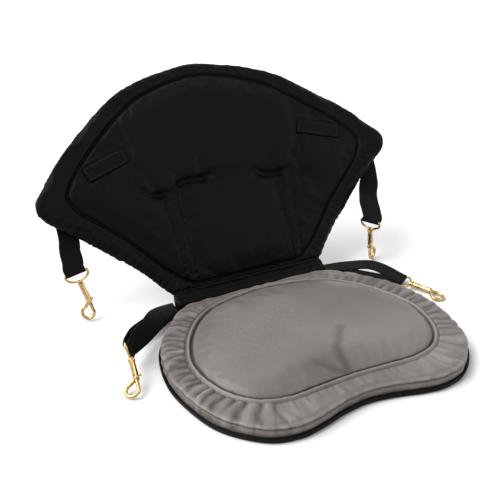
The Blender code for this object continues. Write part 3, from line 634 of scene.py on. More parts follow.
def refined(obj, where):
    """One subdivision all over, then another of the faces for which where() is true at their middles."""
    modifier(obj, "SUBSURF", levels=1, render_levels=1)
    settled(obj)
    bm = bmesh.new()
    bm.from_mesh(obj.data)
    middles = np.array([f.calc_center_median() for f in bm.faces])
    chosen = where(middles)
    edges = {e for f, take in zip(bm.faces, chosen) if take for e in f.edges}
    bmesh.ops.subdivide_edges(bm, edges=list(edges), cuts=1, use_grid_fill=True)
    bmesh.ops.triangulate(bm, faces=[f for f in bm.faces if len(f.verts) > 4])
    bm.to_mesh(obj.data)
    bm.free()
    obj.data.shade_smooth()


def blank_pad(name, rings, top, bottom):
    """A closed pad of even faces through rings."""
    obj = new_object(name, skin(rings, top, bottom))
    modifier(obj, "REMESH", mode="VOXEL", voxel_size=VOXEL)
    return settled(obj)


def surveyed(pad, panel_line, outer, middle):
    """A pad's points and normals, how far they are from its panel's seam and its edge, and the seam's run."""
    points = positions(pad.data)
    flat = points[:, :2]
    distance, along = measured(flat, panel_line)
    signed = np.where(outside(flat, panel_line, middle), distance, -distance)
    length = np.linalg.norm(np.diff(np.vstack([panel_line, panel_line[:1]]), axis=0), axis=1).sum()
    return points, positions(pad.data, "normal"), distance, signed, measured(flat, outer)[0], along, length


def raised(pad, points, normal, height):
    """Moves a pad's points out by a height, keeps that height for the painted shade and highlight of its
    folds, and lays its cloth.
    """
    move_points(pad, points + normal * height[:, None])
    paint_fold_shade(pad, height)
    lay_cloth(pad)


def make_seat_pad():
    """Grey pad: gathered rim, grooved and piped seam, raised middle."""
    size = sizes()
    outer = outline(SEAT_SHAPE, size.seat_width, size.seat_depth, -size.seat_depth / 2, 200)
    start = size.seat_depth / 2 - INSET_FROM_REAR - INSET_DEPTH
    inset_line = outline(INSET_SHAPE, INSET_WIDTH, INSET_DEPTH, start, 400)
    middle = np.array((0.0, start + INSET_DEPTH / 2))
    inset = matched(inset_line, outer, middle)
    rim, crown = size.seat_rim, size.seat_crown
    rings = rings_in(outer, (0.0060, 0.0020), (0.0026, 0.0024), (0.0020, 0.0067), (0.0010, 0.0120),
                     (0.0010, 0.0165), (0.0022, rim - 0.0028), (0.0060, rim - 0.0012))
    rings += rings_in(inset, (-0.0060, rim - 0.0012), (0.0, rim - 0.0026), (0.0060, rim + 0.0020))
    rings += rings_shrunk(inset, middle, (0.84, crown - 0.0030), (0.60, crown - 0.0014),
                          (0.30, crown - 0.0006))
    pad = blank_pad("seat_pad", rings, (*middle, crown - 0.0005), (*middle, 0.0020))
    points = positions(pad.data)
    seam = measured(points[:, :2], inset_line)[0]
    held = np.maximum(1 - eased(seam, 0.0020, 0.0050), 1 - eased(points[:, 2], 0.0070, 0.0090))
    by_edge = measured(points[:, :2], outer)[0] < 0.005
    held = np.maximum(held, by_edge * (1 - eased(np.abs(points[:, 2] - rim + 0.0035), 0.0015, 0.0035)))
    swollen(pad, held)
    refined(pad, lambda spots: (measured(spots[:, :2], outer)[0] < 0.044) & (spots[:, 2] > 0.004))

    points, normal, distance, signed, edge, along, length = surveyed(pad, inset_line, outer, middle)
    flat = points[:, :2]
    up = eased(normal[:, 2], 0.1, 0.5)
    side = eased(points[:, 2], 0.006, 0.010)
    leftwards = 1.25 - 0.50 * eased(flat[:, 0], -0.05, 0.05)
    strength = 0.12 + 0.98 * eased(np.abs(flat[:, 0]), 0.070, 0.130) * leftwards
    strength *= 1 - 0.75 * eased(flat[:, 1], 0.105, 0.125)
    inner = gathers(along + 0.10 * distance, length, 0.0098, 3) - 0.6
    outer_folds = gathers(along - 0.25 * distance, length, 0.0135, 11) - 0.55
    near = 0.30 + 0.70 * (1 - eased(signed, 0.008, 0.028))
    far = (0.25 + 0.75 * (1 - eased(edge, 0.006, 0.026))) * (0.45 + 0.55 * eased(edge, 0.0, 0.009))
    on_rim = eased(signed, 0.0045, 0.0085) * np.maximum(side, up)
    height = size.gather_height * strength * on_rim * (inner * near + 0.8 * outer_folds * far)
    for place, width, rise in ((0.0, 0.0012, -0.0030), (0.0031, 0.0015, 0.0023), (0.0064, 0.0012, -0.0013)):
        height += rise * up * bell(signed - place, width)
    height -= 0.0016 * bell(points[:, 2] - (rim - 0.0064), 0.0010) * (edge < 0.004)
    piping = 0.0012 + 0.0004 * np.sin(along / 0.0041 + 2.2 * np.sin(along / 0.013))
    height += piping * bell(points[:, 2] - rim + 0.0040, 0.0013) * (edge < 0.006)
    height += 0.0004 * rippled(flat, 26.0, 5) * up + 0.0002 * rippled(flat, 70.0, 6) * up
    for line, width, depth in SEAT_CREASES:
        height -= depth * up * (signed < 0) * bell(beside(flat, line), width)
    raised(pad, points, normal, height)
    dressed(pad, grey_material(), "seat", ("seat_cover", "seat_foam", "seat_inset_foam"))
    return pad


def make_seat_base():
    """Black underside that turns up round the grey pad and ends in a bound edge."""
    size = sizes()
    outer = outline(SEAT_SHAPE, size.seat_width, size.seat_depth, -size.seat_depth / 2, 260)
    rings = rings_shrunk(outer, (0.0, 0.0), (0.5, 0.0))
    rings += rings_in(outer, (0.0030, 0.0), (0.0008, 0.0005), (-0.0002, 0.0020), (-0.0004, 0.0044),
                      (-0.0012, 0.0052), (-0.0014, 0.0062), (-0.0008, 0.0072), (0.0004, 0.0075),
                      (0.0013, 0.0068), (0.0014, 0.0018))
    base = new_object("seat_base", skin(rings, (0.0, 0.0, 0.0016), (0.0, 0.0, 0.0)))
    lay_cloth(base)
    return dressed(base, black_material(), "seat", ("seat_underside",))


def wrap_lift(flat):
    """How far the wings bend forwards at places across and up the back."""
    size = sizes()
    up = np.clip(flat[:, 1] / WING_BEND_UP, 0, 1)
    return size.wing_wrap * (flat[:, 0] / (size.back_width / 2)) ** 2 * up * up * (3 - 2 * up)


def onto_back(obj):
    """Lets the left wing sag as in use, bends a flat piece as the wings bend and stands it in its place."""
    points = positions(obj.data)
    sag = eased(-points[:, 0], 0.150, 0.240)[:, None] * (1 - eased(points[:, 1], 0.16, 0.26))[:, None]
    points[:, :2] += sag * (-0.0070, -0.0080)
    points[:, 2] += wrap_lift(points[:, :2])
    move_points(obj, points)
    obj.data.transform(BACK_FRAME)
    return obj


def tab_share(flat, side):
    """Places on a tab as shares of its half length and half width."""
    spot = flat - (side * TAB_ACROSS, TAB_UP)
    cos, sin = math.cos(-side * TAB_TILT), math.sin(-side * TAB_TILT)
    own = np.c_[spot[:, 0] * cos + spot[:, 1] * sin, -spot[:, 0] * sin + spot[:, 1] * cos]
    return np.abs(own) / (TAB_LENGTH / 2, TAB_WIDTH / 2)


def make_back_pad():
    """Black pad: gathered rim, raised panel with stitched channels, creases and dimples."""
    size = sizes()
    outer = outline(BACK_SHAPE, size.back_width, size.back_height, 0.0006, 240)
    panel_line = outline(PANEL_SHAPE, PANEL_WIDTH, PANEL_HEIGHT, PANEL_START, 480)
    middle = np.array((0.0, size.back_height * 0.45))
    panel = matched(panel_line, outer, middle)
    thick = size.back_thickness
    rings = rings_shrunk(panel, middle, (0.6, -thick + 0.0005))
    rings += rings_in(outer, (0.0120, -thick + 0.0006), (0.0050, -thick * 0.84), (0.0020, -thick * 0.66),
                      (0.0010, -thick / 2), (0.0020, -thick * 0.34), (0.0050, -thick * 0.15),
                      (0.0110, -0.0006))
    rings += rings_in(panel, (-0.0050, -0.0012), (0.0, -0.0028), (0.0060, 0.0004))
    rings += rings_shrunk(panel, middle, (0.84, 0.0028), (0.56, 0.0042), (0.26, 0.0045))
    pad = blank_pad("back_pad", rings, (*middle, 0.0045), (*middle, -thick + 0.0005))
    points = positions(pad.data)
    flat = points[:, :2]
    front = points[:, 2] > -thick * 0.35
    edge = measured(flat, outer)[0]
    held = front * (1 - eased(measured(flat, panel_line)[0], 0.0020, 0.0050))
    held = np.maximum(held, 1 - eased(np.abs(points[:, 2] + thick / 2) + edge, 0.0030, 0.0060))
    held = np.maximum(held, points[:, 2] < -thick + 0.0020)
    for line in CHANNELS:
        held = np.maximum(held, front * (1 - eased(beside(flat, line), 0.001, 0.004)))
    for side in (-1, 1):
        held = np.maximum(held, front * (tab_share(flat, side).max(1) < 1.1))
    for across, up, _ in DIMPLES:
        near = np.linalg.norm(flat - (across, up), axis=1)
        held = np.maximum(held, front * (1 - eased(near, 0.003, 0.007)))
    swollen(pad, held)
    refined(pad, lambda spots: (measured(spots[:, :2], outer)[0] < 0.040) & (spots[:, 2] > -thick * 0.9))

    points, normal, distance, signed, edge, along, length = surveyed(pad, panel_line, outer, middle)
    flat = points[:, :2]
    front = eased(normal[:, 2], 0.0, 0.4)
    low = 1 - eased(flat[:, 1], 0.13, 0.17)
    across = np.abs(flat[:, 0])
    strength = 0.20 + low * eased(across, 0.070, 0.095) * np.where(flat[:, 0] < 0, 0.9, 0.45)
    fold = gathers(along, length, 0.0095, 5) - 0.55
    broad = gathers(along - 0.3 * distance, length, 0.030, 8) - 0.5
    rim = eased(signed, 0.0010, 0.0080)
    fade = 0.45 + 0.55 * (1 - eased(edge, 0.006, 0.026))
    folds = strength * fold * fade + 0.35 * broad
    height = 0.55 * size.gather_height * rim * folds * np.maximum(front, 0.6)
    height -= 0.0030 * front * bell(signed, 0.0015)
    height += 0.0006 * front * bell(signed - 0.0045, 0.0020)
    height += (0.0004 * rippled(flat, 24.0, 9) + 0.0002 * rippled(flat, 75.0, 4)) * front
    hem_low = (flat[:, 1] < 0.022) * (across < 0.112)
    height -= 0.0014 * front * hem_low * bell(flat[:, 1] - 0.0078, 0.0012)
    height += 0.0008 * front * hem_low * bell(flat[:, 1] - 0.0048, 0.0018)
    for line, width, depth in BACK_CREASES:
        height -= depth * front * bell(beside(flat, line), width)
    for spot_across, spot_up, depth in DIMPLES:
        stretch = (flat - (spot_across, spot_up)) / (0.0105, 0.0050)
        height -= depth * front * np.exp(-(stretch**2).sum(1))
    for line in CHANNELS:
        gap, run = measured(flat, np.array(line), closed=False)
        pull = 0.75 + 0.25 * np.sin(run / 0.0016 + 2 * np.sin(run / 0.013))
        height -= 0.0020 * front * pull * bell(gap, 0.0015)
    hollow = np.exp(-(((flat - (0.0, 0.145)) / (0.045, 0.012)) ** 2).sum(1))
    height -= 0.0012 * front * hollow
    for side in (-1, 1):
        share = tab_share(flat, side)
        height -= 0.0009 * front * (1 - eased(share.max(1), 0.98, 1.22))
        height += 0.0007 * front * bell(share.max(1) - 1.35, 0.14)
    height -= 0.0011 * bell(points[:, 2] + thick / 2, 0.0010) * (edge < 0.004)
    rear = eased(-normal[:, 2], 0.2, 0.6)
    height -= 0.0012 * rear * bell(measured(flat, drawn_in(outer, 0.014))[0], 0.0014)
    raised(pad, points, normal, height)
    onto_back(pad)
    nodes = ("back_cover_front", "back_cover_rear", "back_foam", "back_panel_foam")
    dressed(pad, black_material(), "back", nodes)
    return pad


def stitched(bm, place, way, out):
    """One raised stitch at a place, along a way, on a surface that faces out."""
    way = Vector(way).normalized()
    out = Vector(out)
    out = (out - way * out.dot(way)).normalized()
    turn = Matrix((way, out.cross(way), out)).transposed().to_4x4()
    shape = Matrix.Translation(place) @ turn @ Matrix.Diagonal((STITCH_LENGTH, STITCH_WIDTH, STITCH_WIDTH, 1))
    bmesh.ops.create_icosphere(bm, subdivisions=1, radius=0.5, matrix=shape)


def map_webbing(bm, place):
    """The webbing's own map in metres, along and across it."""
    uv = bm.loops.layers.uv.new("cloth")
    for face in bm.faces:
        for loop in face.loops:
            loop[uv].uv = place(loop.vert.co)


def thick_webbing(name, bm, thickness, offset, edge, body, node):
    """Gives flat webbing its thickness and soft edges."""
    piece = new_object(name + "_webbing", bm)
    modifier(piece, "SOLIDIFY", thickness=thickness, offset=offset)
    modifier(piece, "BEVEL", width=edge, segments=2)
    settled(piece)
    piece.data.shade_smooth()
    return dressed(piece, webbing_material(), body, (node,))


def sewn(name, bm, body):
    dressed(new_object(name + "_stitches", bm), thread_material(), body)


def surface_of(obj):
    bm = bmesh.new()
    bm.from_mesh(obj.data)
    tree = BVHTree.FromBMesh(bm)
    bm.free()
    return tree


def make_tabs(pad):
    """Two webbing tabs sewn flat on the front of the back."""
    bed = surface_of(pad)
    forward = BACK_FRAME.to_3x3() @ Vector((0, 0, 1))
    for name, side in (("left_tab", -1), ("right_tab", 1)):
        place = (Matrix.Translation((side * TAB_ACROSS, TAB_UP, 0))
                 @ Matrix.Rotation(-side * TAB_TILT, 4, "Z") @ Matrix.Diagonal((TAB_LENGTH, TAB_WIDTH, 1, 1)))
        bm = bmesh.new()
        bmesh.ops.create_grid(bm, x_segments=30, y_segments=8, size=0.5)
        map_webbing(bm, lambda spot: (spot.x * TAB_LENGTH, spot.y * TAB_WIDTH))
        frame_of_tab = BACK_FRAME @ place
        bmesh.ops.transform(bm, matrix=frame_of_tab, verts=bm.verts)
        for vert in bm.verts:
            hit = bed.ray_cast(vert.co + forward * 0.08, -forward)[0]
            vert.co = hit + forward * 0.0004
        for _ in range(3):
            bmesh.ops.smooth_vert(bm, verts=[v for v in bm.verts if not v.is_boundary], factor=0.5,
                                  use_axis_x=True, use_axis_y=True, use_axis_z=True)
        bm.normal_update()
        offset = 1.0 if next(iter(bm.faces)).normal.dot(forward) > 0 else -1.0
        top = surface_of(thick_webbing(name, bm, TAB_THICKNESS, offset, 0.0005, "back", name))
        bm = bmesh.new()
        edges = [((-0.46, -0.36), (0.46, -0.36)), ((-0.46, 0.36), (0.46, 0.36)),
                 ((-0.46, -0.36), (-0.46, 0.36)), ((0.46, -0.36), (0.46, 0.36))]
        for edge in edges:
            a, b = (frame_of_tab @ Vector((x, y, 0)) for x, y in edge)
            count = round((b - a).length / TAB_STITCH)
            for k in range(count):
                spot = a.lerp(b, (k + 0.5) / count)
                hit, out, _, _ = top.ray_cast(spot + forward * 0.08, -forward)
                if hit is not None:
                    stitched(bm, hit, b - a, out)
        sewn(name, bm, "back")


def make_hinge_sleeve():
    """Sewn cloth roll between the seat and the back, wrinkled along its length."""
    half = ROLL_HALF
    centre = Vector((0.0, ROLL_PLACE, ROLL_HEIGHT))
    stations = np.concatenate([[-half, -half + 0.0008, -half + 0.0030],
                               np.linspace(-half + 0.006, half - 0.006, 90),
                               [half - 0.0030, half - 0.0008, half]])
    reach = np.concatenate([[0.55, 0.85, 0.97], np.ones(90), [0.97, 0.85, 0.55]])
    turn = np.linspace(0, 2 * math.pi, 40, endpoint=False)
    rings = []
    for x, share in zip(stations, reach):
        wave = 0.00035 * np.sin(x / 0.0062 + 1.7 * np.sin(turn * 2)) + 0.00030 * np.sin(x / 0.0150 + turn)
        seam = -0.0010 * bell(turn - 1.60, 0.10) - 0.0007 * bell(turn - 2.9, 0.09)
        bulge = (0.0052 + 0.0022 * eased(abs(x), 0.085, 0.105)) * bell(turn - 0.86, 0.36)
        r = (ROLL_RADIUS - 0.0004 + wave + seam + bulge) * share
        rings.append(np.c_[np.full(len(turn), x), centre.y + r * np.cos(turn), centre.z + r * np.sin(turn)])
    tips = [(side * half, centre.y, centre.z) for side in (-1, 1)]
    sleeve = new_object("hinge_sleeve", skin(rings, tips[1], tips[0]))
    lay_cloth(sleeve)
    dressed(sleeve, black_material(), nodes=("hinge_roll",))
    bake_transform(sleeve)
    return sleeve


# Straps


def smooth_way(points, count):
    """Points on a smooth open curve through the given points."""
    points = np.array(points, float)
    chords = np.linalg.norm(np.diff(points, axis=0), axis=1)[:, None] + 1e-9
    slopes = np.vstack([(points[1:2] - points[:1]) / chords[:1],
                        (points[2:] - points[:-2]) / (chords[1:] + chords[:-1]),
                        (points[-1:] - points[-2:-1]) / chords[-1:]])
    found = []
    for i, chord in enumerate(chords):
        for t in np.linspace(0, 1, count, endpoint=False):
            found.append(points[i] * (2 * t**3 - 3 * t**2 + 1) + points[i + 1] * (3 * t**2 - 2 * t**3)
                         + slopes[i] * chord * (t**3 - 2 * t**2 + t) + slopes[i + 1] * chord * (t**3 - t**2))
    return np.vstack([found, points[-1:]])


def unit(vectors):
    vectors = np.asarray(vectors, float)
    return vectors / np.linalg.norm(vectors, axis=-1, keepdims=True)


def frame_along(origin, z_axis, x_axis):
    z = Vector(z_axis).normalized()
    x = Vector(x_axis)
    x = (x - z * x.dot(z)).normalized()
    return Matrix.Translation(origin) @ Matrix((x, z.cross(x), z)).transposed().to_4x4()


def sewn_start(name, strap):
    """First points of a strap on the back's rear or at the roll's end, and the way of its width there."""
    side = strap["side"]
    if name.startswith("lower"):
        return [(side * x, ROLL_PLACE, 0.009) for x in (0.1083, 0.1143)], [(0, 1, 0), (0, 1, 0)]
    points, widths = [], []
    for up in UPPER_SEWN_UP:
        spots = np.array([(side * UPPER_SEWN_ACROSS + step, up, UPPER_SEWN_DEPTH)
                          for step in (-0.001, 0, 0.001)])
        spots[:, 2] += wrap_lift(spots[:, :2])
        left, spot, right = (BACK_FRAME @ Vector(s) for s in spots)
        points.append(tuple(spot))
        widths.append(tuple((right - left).normalized()))
    return points, widths


def make_strap(name, strap):
    """A loop of webbing from its sewn end round the eye's bar and back."""
    size = sizes()
    bar, axis = (Vector(JOINTS[name + "_swing"][key]) for key in ("pos_m", "axis"))
    points, widths = sewn_start(name, strap)
    halves = [(LAYER + LAYER_GAP) / 2] * len(points) + strap["halves"]
    points = points + strap["route"]
    widths = widths + strap["widths"]
    if "square" in strap:
        way = bar - Vector(points[-1])
        way -= axis * way.dot(axis)
        points.append(bar - way.normalized() * strap["square"])
        widths.append(axis)
        halves.append(NEAR_BAR_HALF)
    halves.append(BAR_HALF)
    widths.append(axis)
    steps = 10
    middle = smooth_way(points + [bar], steps)
    along = unit(np.gradient(middle, axis=0))
    for end in (0, -1):
        along[end] = unit(along[end] - np.array(widths[end]) * np.dot(along[end], widths[end]))
    width = smooth_way(widths, steps)
    width = unit(width - along * (width * along).sum(1)[:, None])
    out = np.cross(along, width)
    half = smooth_way(np.array(halves)[:, None], steps)
    turn = np.linspace(0, math.pi, 18)[1:-1, None]
    bight = middle[-1] + halves[-1] * (np.cos(turn) * out[-1] + np.sin(turn) * along[-1])
    path = np.vstack([middle + out * half, bight, (middle - out * half)[::-1]])
    sides = np.vstack([width, np.repeat(width[-1:], len(bight), axis=0), width[::-1]])
    sides = sides * size.webbing_width / 2
    run = run_along(path)
    bm = bmesh.new()
    bmesh.ops.create_grid(bm, x_segments=6, y_segments=len(path) - 1, size=0.5)
    last = len(path) - 1
    map_webbing(bm, lambda spot: (run[round((spot.y + 0.5) * last)], spot.x * size.webbing_width))
    for vert in bm.verts:
        at = round((vert.co.y + 0.5) * last)
        vert.co = path[at] + sides[at] * vert.co.x * 2
    body = "back" if name.startswith("upper") else "seat"
    thick_webbing(name, bm, size.webbing_thickness, 0, 0.0004, body, name + "_strap")
    sew_strap(name, body, middle, width, out)


def sew_strap(name, body, middle, width, out):
    """Boxed cross of stitches where the two layers join."""
    reach = 0.020 if body == "back" else 0.010
    run = run_along(middle)
    lift = LAYER + LAYER_GAP / 2 + 0.0001
    across = sizes().webbing_width / 2 - 0.0035
    corners = [(0.002, -across), (0.002, across), (reach, across), (reach, -across)]
    lines = [(corners[k], corners[(k + 1) % 4]) for k in range(4)]
    lines += [(corners[0], corners[2]), (corners[1], corners[3])]
    bm = bmesh.new()
    for face in (-1, 1):
        for a, b in lines:
            a, b = np.array(a), np.array(b)
            count = max(2, round(np.linalg.norm(b - a) / STRAP_STITCH))
            for k in range(count):
                spots = []
                for share in ((k + 0.3) / count, (k + 0.7) / count):
                    at, off = a + (b - a) * share
                    base = np.array([np.interp(at, run, column) for column in middle.T])
                    i = min(np.searchsorted(run, at), len(middle) - 1)
                    spots.append(base + width[i] * off + out[i] * face * lift)
                stitched(bm, (spots[0] + spots[1]) / 2, spots[1] - spots[0], out[i] * face)
    sewn(name, bm, body)


# Snaps, in their own frame: Z from the eye's bar to the hook, X towards the thumb knob or along the bar

EYE_WIRE, EYE_HALF, EYE_BOW = 0.0015, 0.0145, 0.0085
BOW_END = 0.0030 + EYE_BOW
BOSS_END = BOW_END + 0.0027 - EYE_WIRE / 2
COLLAR_START = BOSS_END + 0.0003
NECK_END = COLLAR_START + 0.0030
BARREL_END = COLLAR_START + 0.0280
HEAD_END = NECK_END + 0.0003 + 0.0015
HOOK_RADIUS, HOOK_TIP = 0.0074, 0.0012
HOOK_MIDDLE = BARREL_END + 0.0107
BOLT_END = HOOK_MIDDLE - HOOK_TIP - 0.0003
KNOB_PLACE = BARREL_END - 0.0047
BOLT_START = KNOB_PLACE - 0.0033
BARREL, BORE, BOLT = 0.0035, 0.00259, 0.0022
BOLT_TRAVEL = 0.0075
SPRING_FOOT, SPRING_TOP = HEAD_END + 0.0006, BOLT_START - 0.0006


def turned(profile, segments=32):
    """A solid turned about Z through (radius, height) pairs, bottom first, and closed on the axis."""
    turn = np.linspace(0, 2 * math.pi, segments, endpoint=False)
    rings = [np.c_[r * np.cos(turn), r * np.sin(turn), np.full(segments, z)] for r, z in profile]
    return skin(rings, (0, 0, profile[-1][1]), (0, 0, profile[0][1]))


def swept(path, radii, segments=16, closed=False):
    """A round wire along a path in the XZ plane."""
    path = np.array(path, float)
    if closed:
        along = unit(np.roll(path, -1, axis=0) - np.roll(path, 1, axis=0))
    else:
        along = unit(np.gradient(path, axis=0))
    across = np.cross(along, (0, 1, 0))
    turn = np.linspace(0, 2 * math.pi, segments, endpoint=False)
    rings = [p + r * (np.cos(turn)[:, None] * a + np.sin(turn)[:, None] * np.array((0, 1, 0)))
             for p, r, a in zip(path, np.broadcast_to(radii, len(path)), across)]
    if closed:
        return skin(rings, closed=True)
    return skin(rings, path[-1], path[0])


def joined(name, base, steps):
    """One closed mesh from a base and (operation, tool) steps."""
    obj = new_object(name, base)
    tools = [new_object("tool", bm) for _, bm in steps]
    for (operation, _), tool in zip(steps, tools):
        modifier(obj, "BOOLEAN", operation=operation, object=tool, solver="EXACT")
    settled(obj)
    for tool in tools:
        bpy.data.objects.remove(tool, do_unlink=True)
    mesh = obj.data
    mesh.shade_smooth()
    mesh.set_sharp_from_angle(angle=math.radians(38))
    bpy.data.objects.remove(obj, do_unlink=True)
    return mesh


def eye_shape():
    corner = [(EYE_HALF - 0.002 * (1 - math.sin(t)), 0, 0.002 * (1 - math.cos(t)))
              for t in np.linspace(0, math.pi / 2, 7)]
    bow = [(EYE_HALF * math.cos(t), 0, 0.003 + EYE_BOW * math.sin(t))
           for t in np.linspace(0, math.pi / 2, 16)]
    half = [(x, 0, 0) for x in np.linspace(0.0015, 0.0115, 6)] + corner + bow[:-1]
    points = half + [bow[-1]] + [(-x, y, z) for x, y, z in half[::-1]]
    loop = swept(points, EYE_WIRE, closed=True)
    stem = [(0.0016, BOW_END - 0.0014), (0.0024, BOW_END - 0.0010), (0.0027, BOW_END),
            (0.0027, BOSS_END - 0.0004), (0.0023, BOSS_END), (0.0016, BOSS_END), (0.0016, NECK_END + 0.0003),
            (0.0022, NECK_END + 0.0003), (0.0022, HEAD_END - 0.0002), (0.0019, HEAD_END)]
    return joined("eye", turned(stem), [("UNION", loop)])


def hook_shape():
    wire = sizes().wire_radius
    barrel = [(0.0036, COLLAR_START), (0.0041, COLLAR_START + 0.0004), (0.0042, COLLAR_START + 0.0010),
              (0.0042, COLLAR_START + 0.0018), (0.0039, NECK_END - 0.0002), (0.0033, NECK_END + 0.0004),
              (BARREL, NECK_END + 0.0012), (BARREL, BARREL_END - 0.0030),
              (BARREL + 0.0003, BARREL_END - 0.0024), (BARREL + 0.0003, BARREL_END - 0.0008),
              (BARREL, BARREL_END - 0.0002), (BARREL - 0.0004, BARREL_END)]
    start = [(-BARREL * 0.30, 0, BARREL_END - wire * 2.2), (-BARREL * 0.62, 0, BARREL_END - wire * 0.9),
             (-BARREL * 1.35, 0, BARREL_END + wire * 0.45)]
    turns = np.radians(np.linspace(-112, -360, 34))
    arc = [(HOOK_RADIUS * (math.cos(t) - 1), 0, HOOK_MIDDLE + HOOK_RADIUS * math.sin(t)) for t in turns]
    path = smooth_way(start + arc[:1], 5)[:-1].tolist() + arc + [(0, 0, HOOK_MIDDLE - HOOK_TIP)]
    share = np.linspace(0, 1, len(path))
    radii = wire * (1.0 - 0.10 * eased(share, 0.75, 1.0))
    bore = [(0.0019, COLLAR_START - 0.001), (0.0019, NECK_END), (BORE, NECK_END), (BORE, BARREL_END + 0.004)]
    slot = bmesh.new()
    low, high = KNOB_PLACE - BOLT_TRAVEL - 0.0012, KNOB_PLACE + 0.0012
    bmesh.ops.create_cube(slot, size=1.0, matrix=Matrix.Translation((BARREL, 0, (low + high) / 2))
                          @ Matrix.Diagonal((BARREL, 0.0024, high - low, 1)))
    ends = [e for e in slot.edges if abs(e.verts[0].co.x - e.verts[1].co.x) > 0.001]
    bmesh.ops.bevel(slot, geom=ends, offset=0.0010, offset_type="OFFSET", segments=4, profile=0.5,
                    affect="EDGES", material=-1)
    return joined("hook", turned(barrel), [("UNION", swept(path, radii)), ("DIFFERENCE", turned(bore)),
                                           ("DIFFERENCE", slot)])


def bolt_shape():
    body = [(BOLT, BOLT_START), (BOLT, BOLT_END - 0.0006), (BOLT - 0.0004, BOLT_END)]
    reach = BARREL + 0.0006
    knob = turned([(0.0009, 0.0009), (0.0009, reach), (0.0016, reach + 0.0001), (0.0019, reach + 0.0005),
                   (0.0019, reach + 0.0011), (0.0016, reach + 0.0013), (0.0018, reach + 0.0016),
                   (0.0014, reach + 0.0020)], 24)
    place = Matrix.Translation((0, 0, KNOB_PLACE)) @ Matrix.Rotation(math.pi / 2, 4, "Y")
    bmesh.ops.transform(knob, matrix=place, verts=knob.verts)
    return joined("bolt", turned(body), [("UNION", knob)])


def spring_shape():
    radius, turns = 0.0020, 6
    turn = np.linspace(0, 2 * math.pi * turns, turns * 20 + 1)
    out = np.c_[np.cos(turn), np.sin(turn), np.zeros(len(turn))]
    path = radius * out
    path[:, 2] = np.linspace(SPRING_FOOT, SPRING_TOP, len(turn))
    along = unit(np.gradient(path, axis=0))
    up = np.cross(along, out)
    angle = np.linspace(0, 2 * math.pi, 8, endpoint=False)[:, None]
    rings = [p + 0.0003 * (np.cos(angle) * o + np.sin(angle) * u) for p, o, u in zip(path, out, up)]
    return joined("spring", skin(rings, path[-1], path[0]), [])


def make_snaps():
    """Four snaps of an eye, a hook, a bolt with its knob and a spring each."""
    shapes = {"eye": eye_shape(), "hook": hook_shape(), "bolt": bolt_shape(), "spring": spring_shape()}
    for name, strap in STRAPS.items():
        bar = JOINTS[name + "_swing"]["pos_m"]
        lie = JOINTS[name + "_swivel"]["axis"]
        by_bar = frame_along(bar, lie, JOINTS[name + "_swing"]["axis"])
        by_knob = frame_along(bar, lie, strap["knob"])
        for part, body in (("eye", "eye"), ("hook", "snap"), ("bolt", "bolt"), ("spring", "snap")):
            mesh = shapes[part].copy()
            mesh.transform(by_bar if part == "eye" else by_knob)
            piece = placed(f"{name}_brass_{part}" if part != "spring" else f"{name}_coil", mesh)
            if part == "spring":
                finish, slot = spring_material(), "spring_steel"
            else:
                finish, slot = brass_material(), "brass"
            dressed(piece, finish, f"{name}_{body}", (f"{name}_{part}",))
            if part == "spring":
                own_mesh(piece)


# Stage: for each lamp its name, kind, place, angle or size, and power

CAMERA_PLACE, CAMERA_AIM, CAMERA_LENS = (-0.4376, -0.6892, 0.5417), (0.0450, 0.2382, 0.0130), 59.58
LAMP_AIM = (0, 0.1, 0.05)
LAMPS = (("key", "SUN", (-1.05, 0.50, 1.30), 0.90, 3.0), ("left", "AREA", (-1.3, -0.2, 1.3), 0.7, 5.0),
         ("right", "AREA", (1.3, -0.8, 1.1), 0.9, 5.0), ("rear", "AREA", (0.3, 1.5, 1.4), 0.9, 8.0))


def floor_material():
    """Matt white sweep of painted board, which the camera sees almost white and which keeps the shadow."""
    return cloudy_material("matt_white_sweep", tuple(colours().floor), 3.0, 0.99, 1.0, Roughness=0.9)


def make_stage():
    """Floor, lamps, a white world that lights the scene less than it shows, and the camera."""
    bm = bmesh.new()
    bmesh.ops.create_grid(bm, x_segments=1, y_segments=1, size=4.0)
    floor = new_object("floor", bm)
    floor.data.materials.append(floor_material())
    for name, kind, place, size, power in LAMPS:
        data = bpy.data.lights.new(name, kind)
        setattr(data, "angle" if kind == "SUN" else "size", size)
        data.energy = power
        lamp = placed(name, data)
        lamp.location = place
        lamp.rotation_euler = (Vector(LAMP_AIM) - Vector(place)).to_track_quat("-Z", "Y").to_euler()
    scene = bpy.context.scene
    world = bpy.data.worlds.new("studio")
    scene.world = world
    world.use_nodes = True
    tree = world.node_tree
    back = tree.nodes["Background"]
    path = add_node(tree, "ShaderNodeLightPath")
    shiny = add_node(tree, "ShaderNodeMath", {"operation": "ADD"},
                     {0: path.outputs["Is Camera Ray"], 1: path.outputs["Is Glossy Ray"]})
    clear = add_node(tree, "ShaderNodeMath", {"operation": "ADD"},
                     {0: shiny.outputs["Value"], 1: path.outputs["Is Transmission Ray"]})
    level = add_node(tree, "ShaderNodeMapRange", {"To Min": 0.40, "To Max": 1.0},
                     {"Value": clear.outputs["Value"]})
    tree.links.new(level.outputs["Result"], back.inputs["Strength"])
    back.inputs["Color"].default_value = (1, 1, 1, 1)

    data = bpy.data.cameras.new("camera")
    data.lens = CAMERA_LENS
    data.sensor_width = 36
    data.clip_start = 0.05
    camera = placed("camera", data)
    camera.location = CAMERA_PLACE
    camera.rotation_euler = (Vector(CAMERA_AIM) - camera.location).to_track_quat("-Z", "Y").to_euler()
    scene.camera = camera
    scene.view_settings.view_transform = "Standard"


# Operators


class KAYAKSEAT_OT_seat(bpy.types.Operator):
    """Make the grey seat pad and its black underside"""

    bl_idname = "kayak_seat.seat"
    bl_label = "Seat Pad"

    def execute(self, context):
        make_seat_pad()
        make_seat_base()
        return {"FINISHED"}


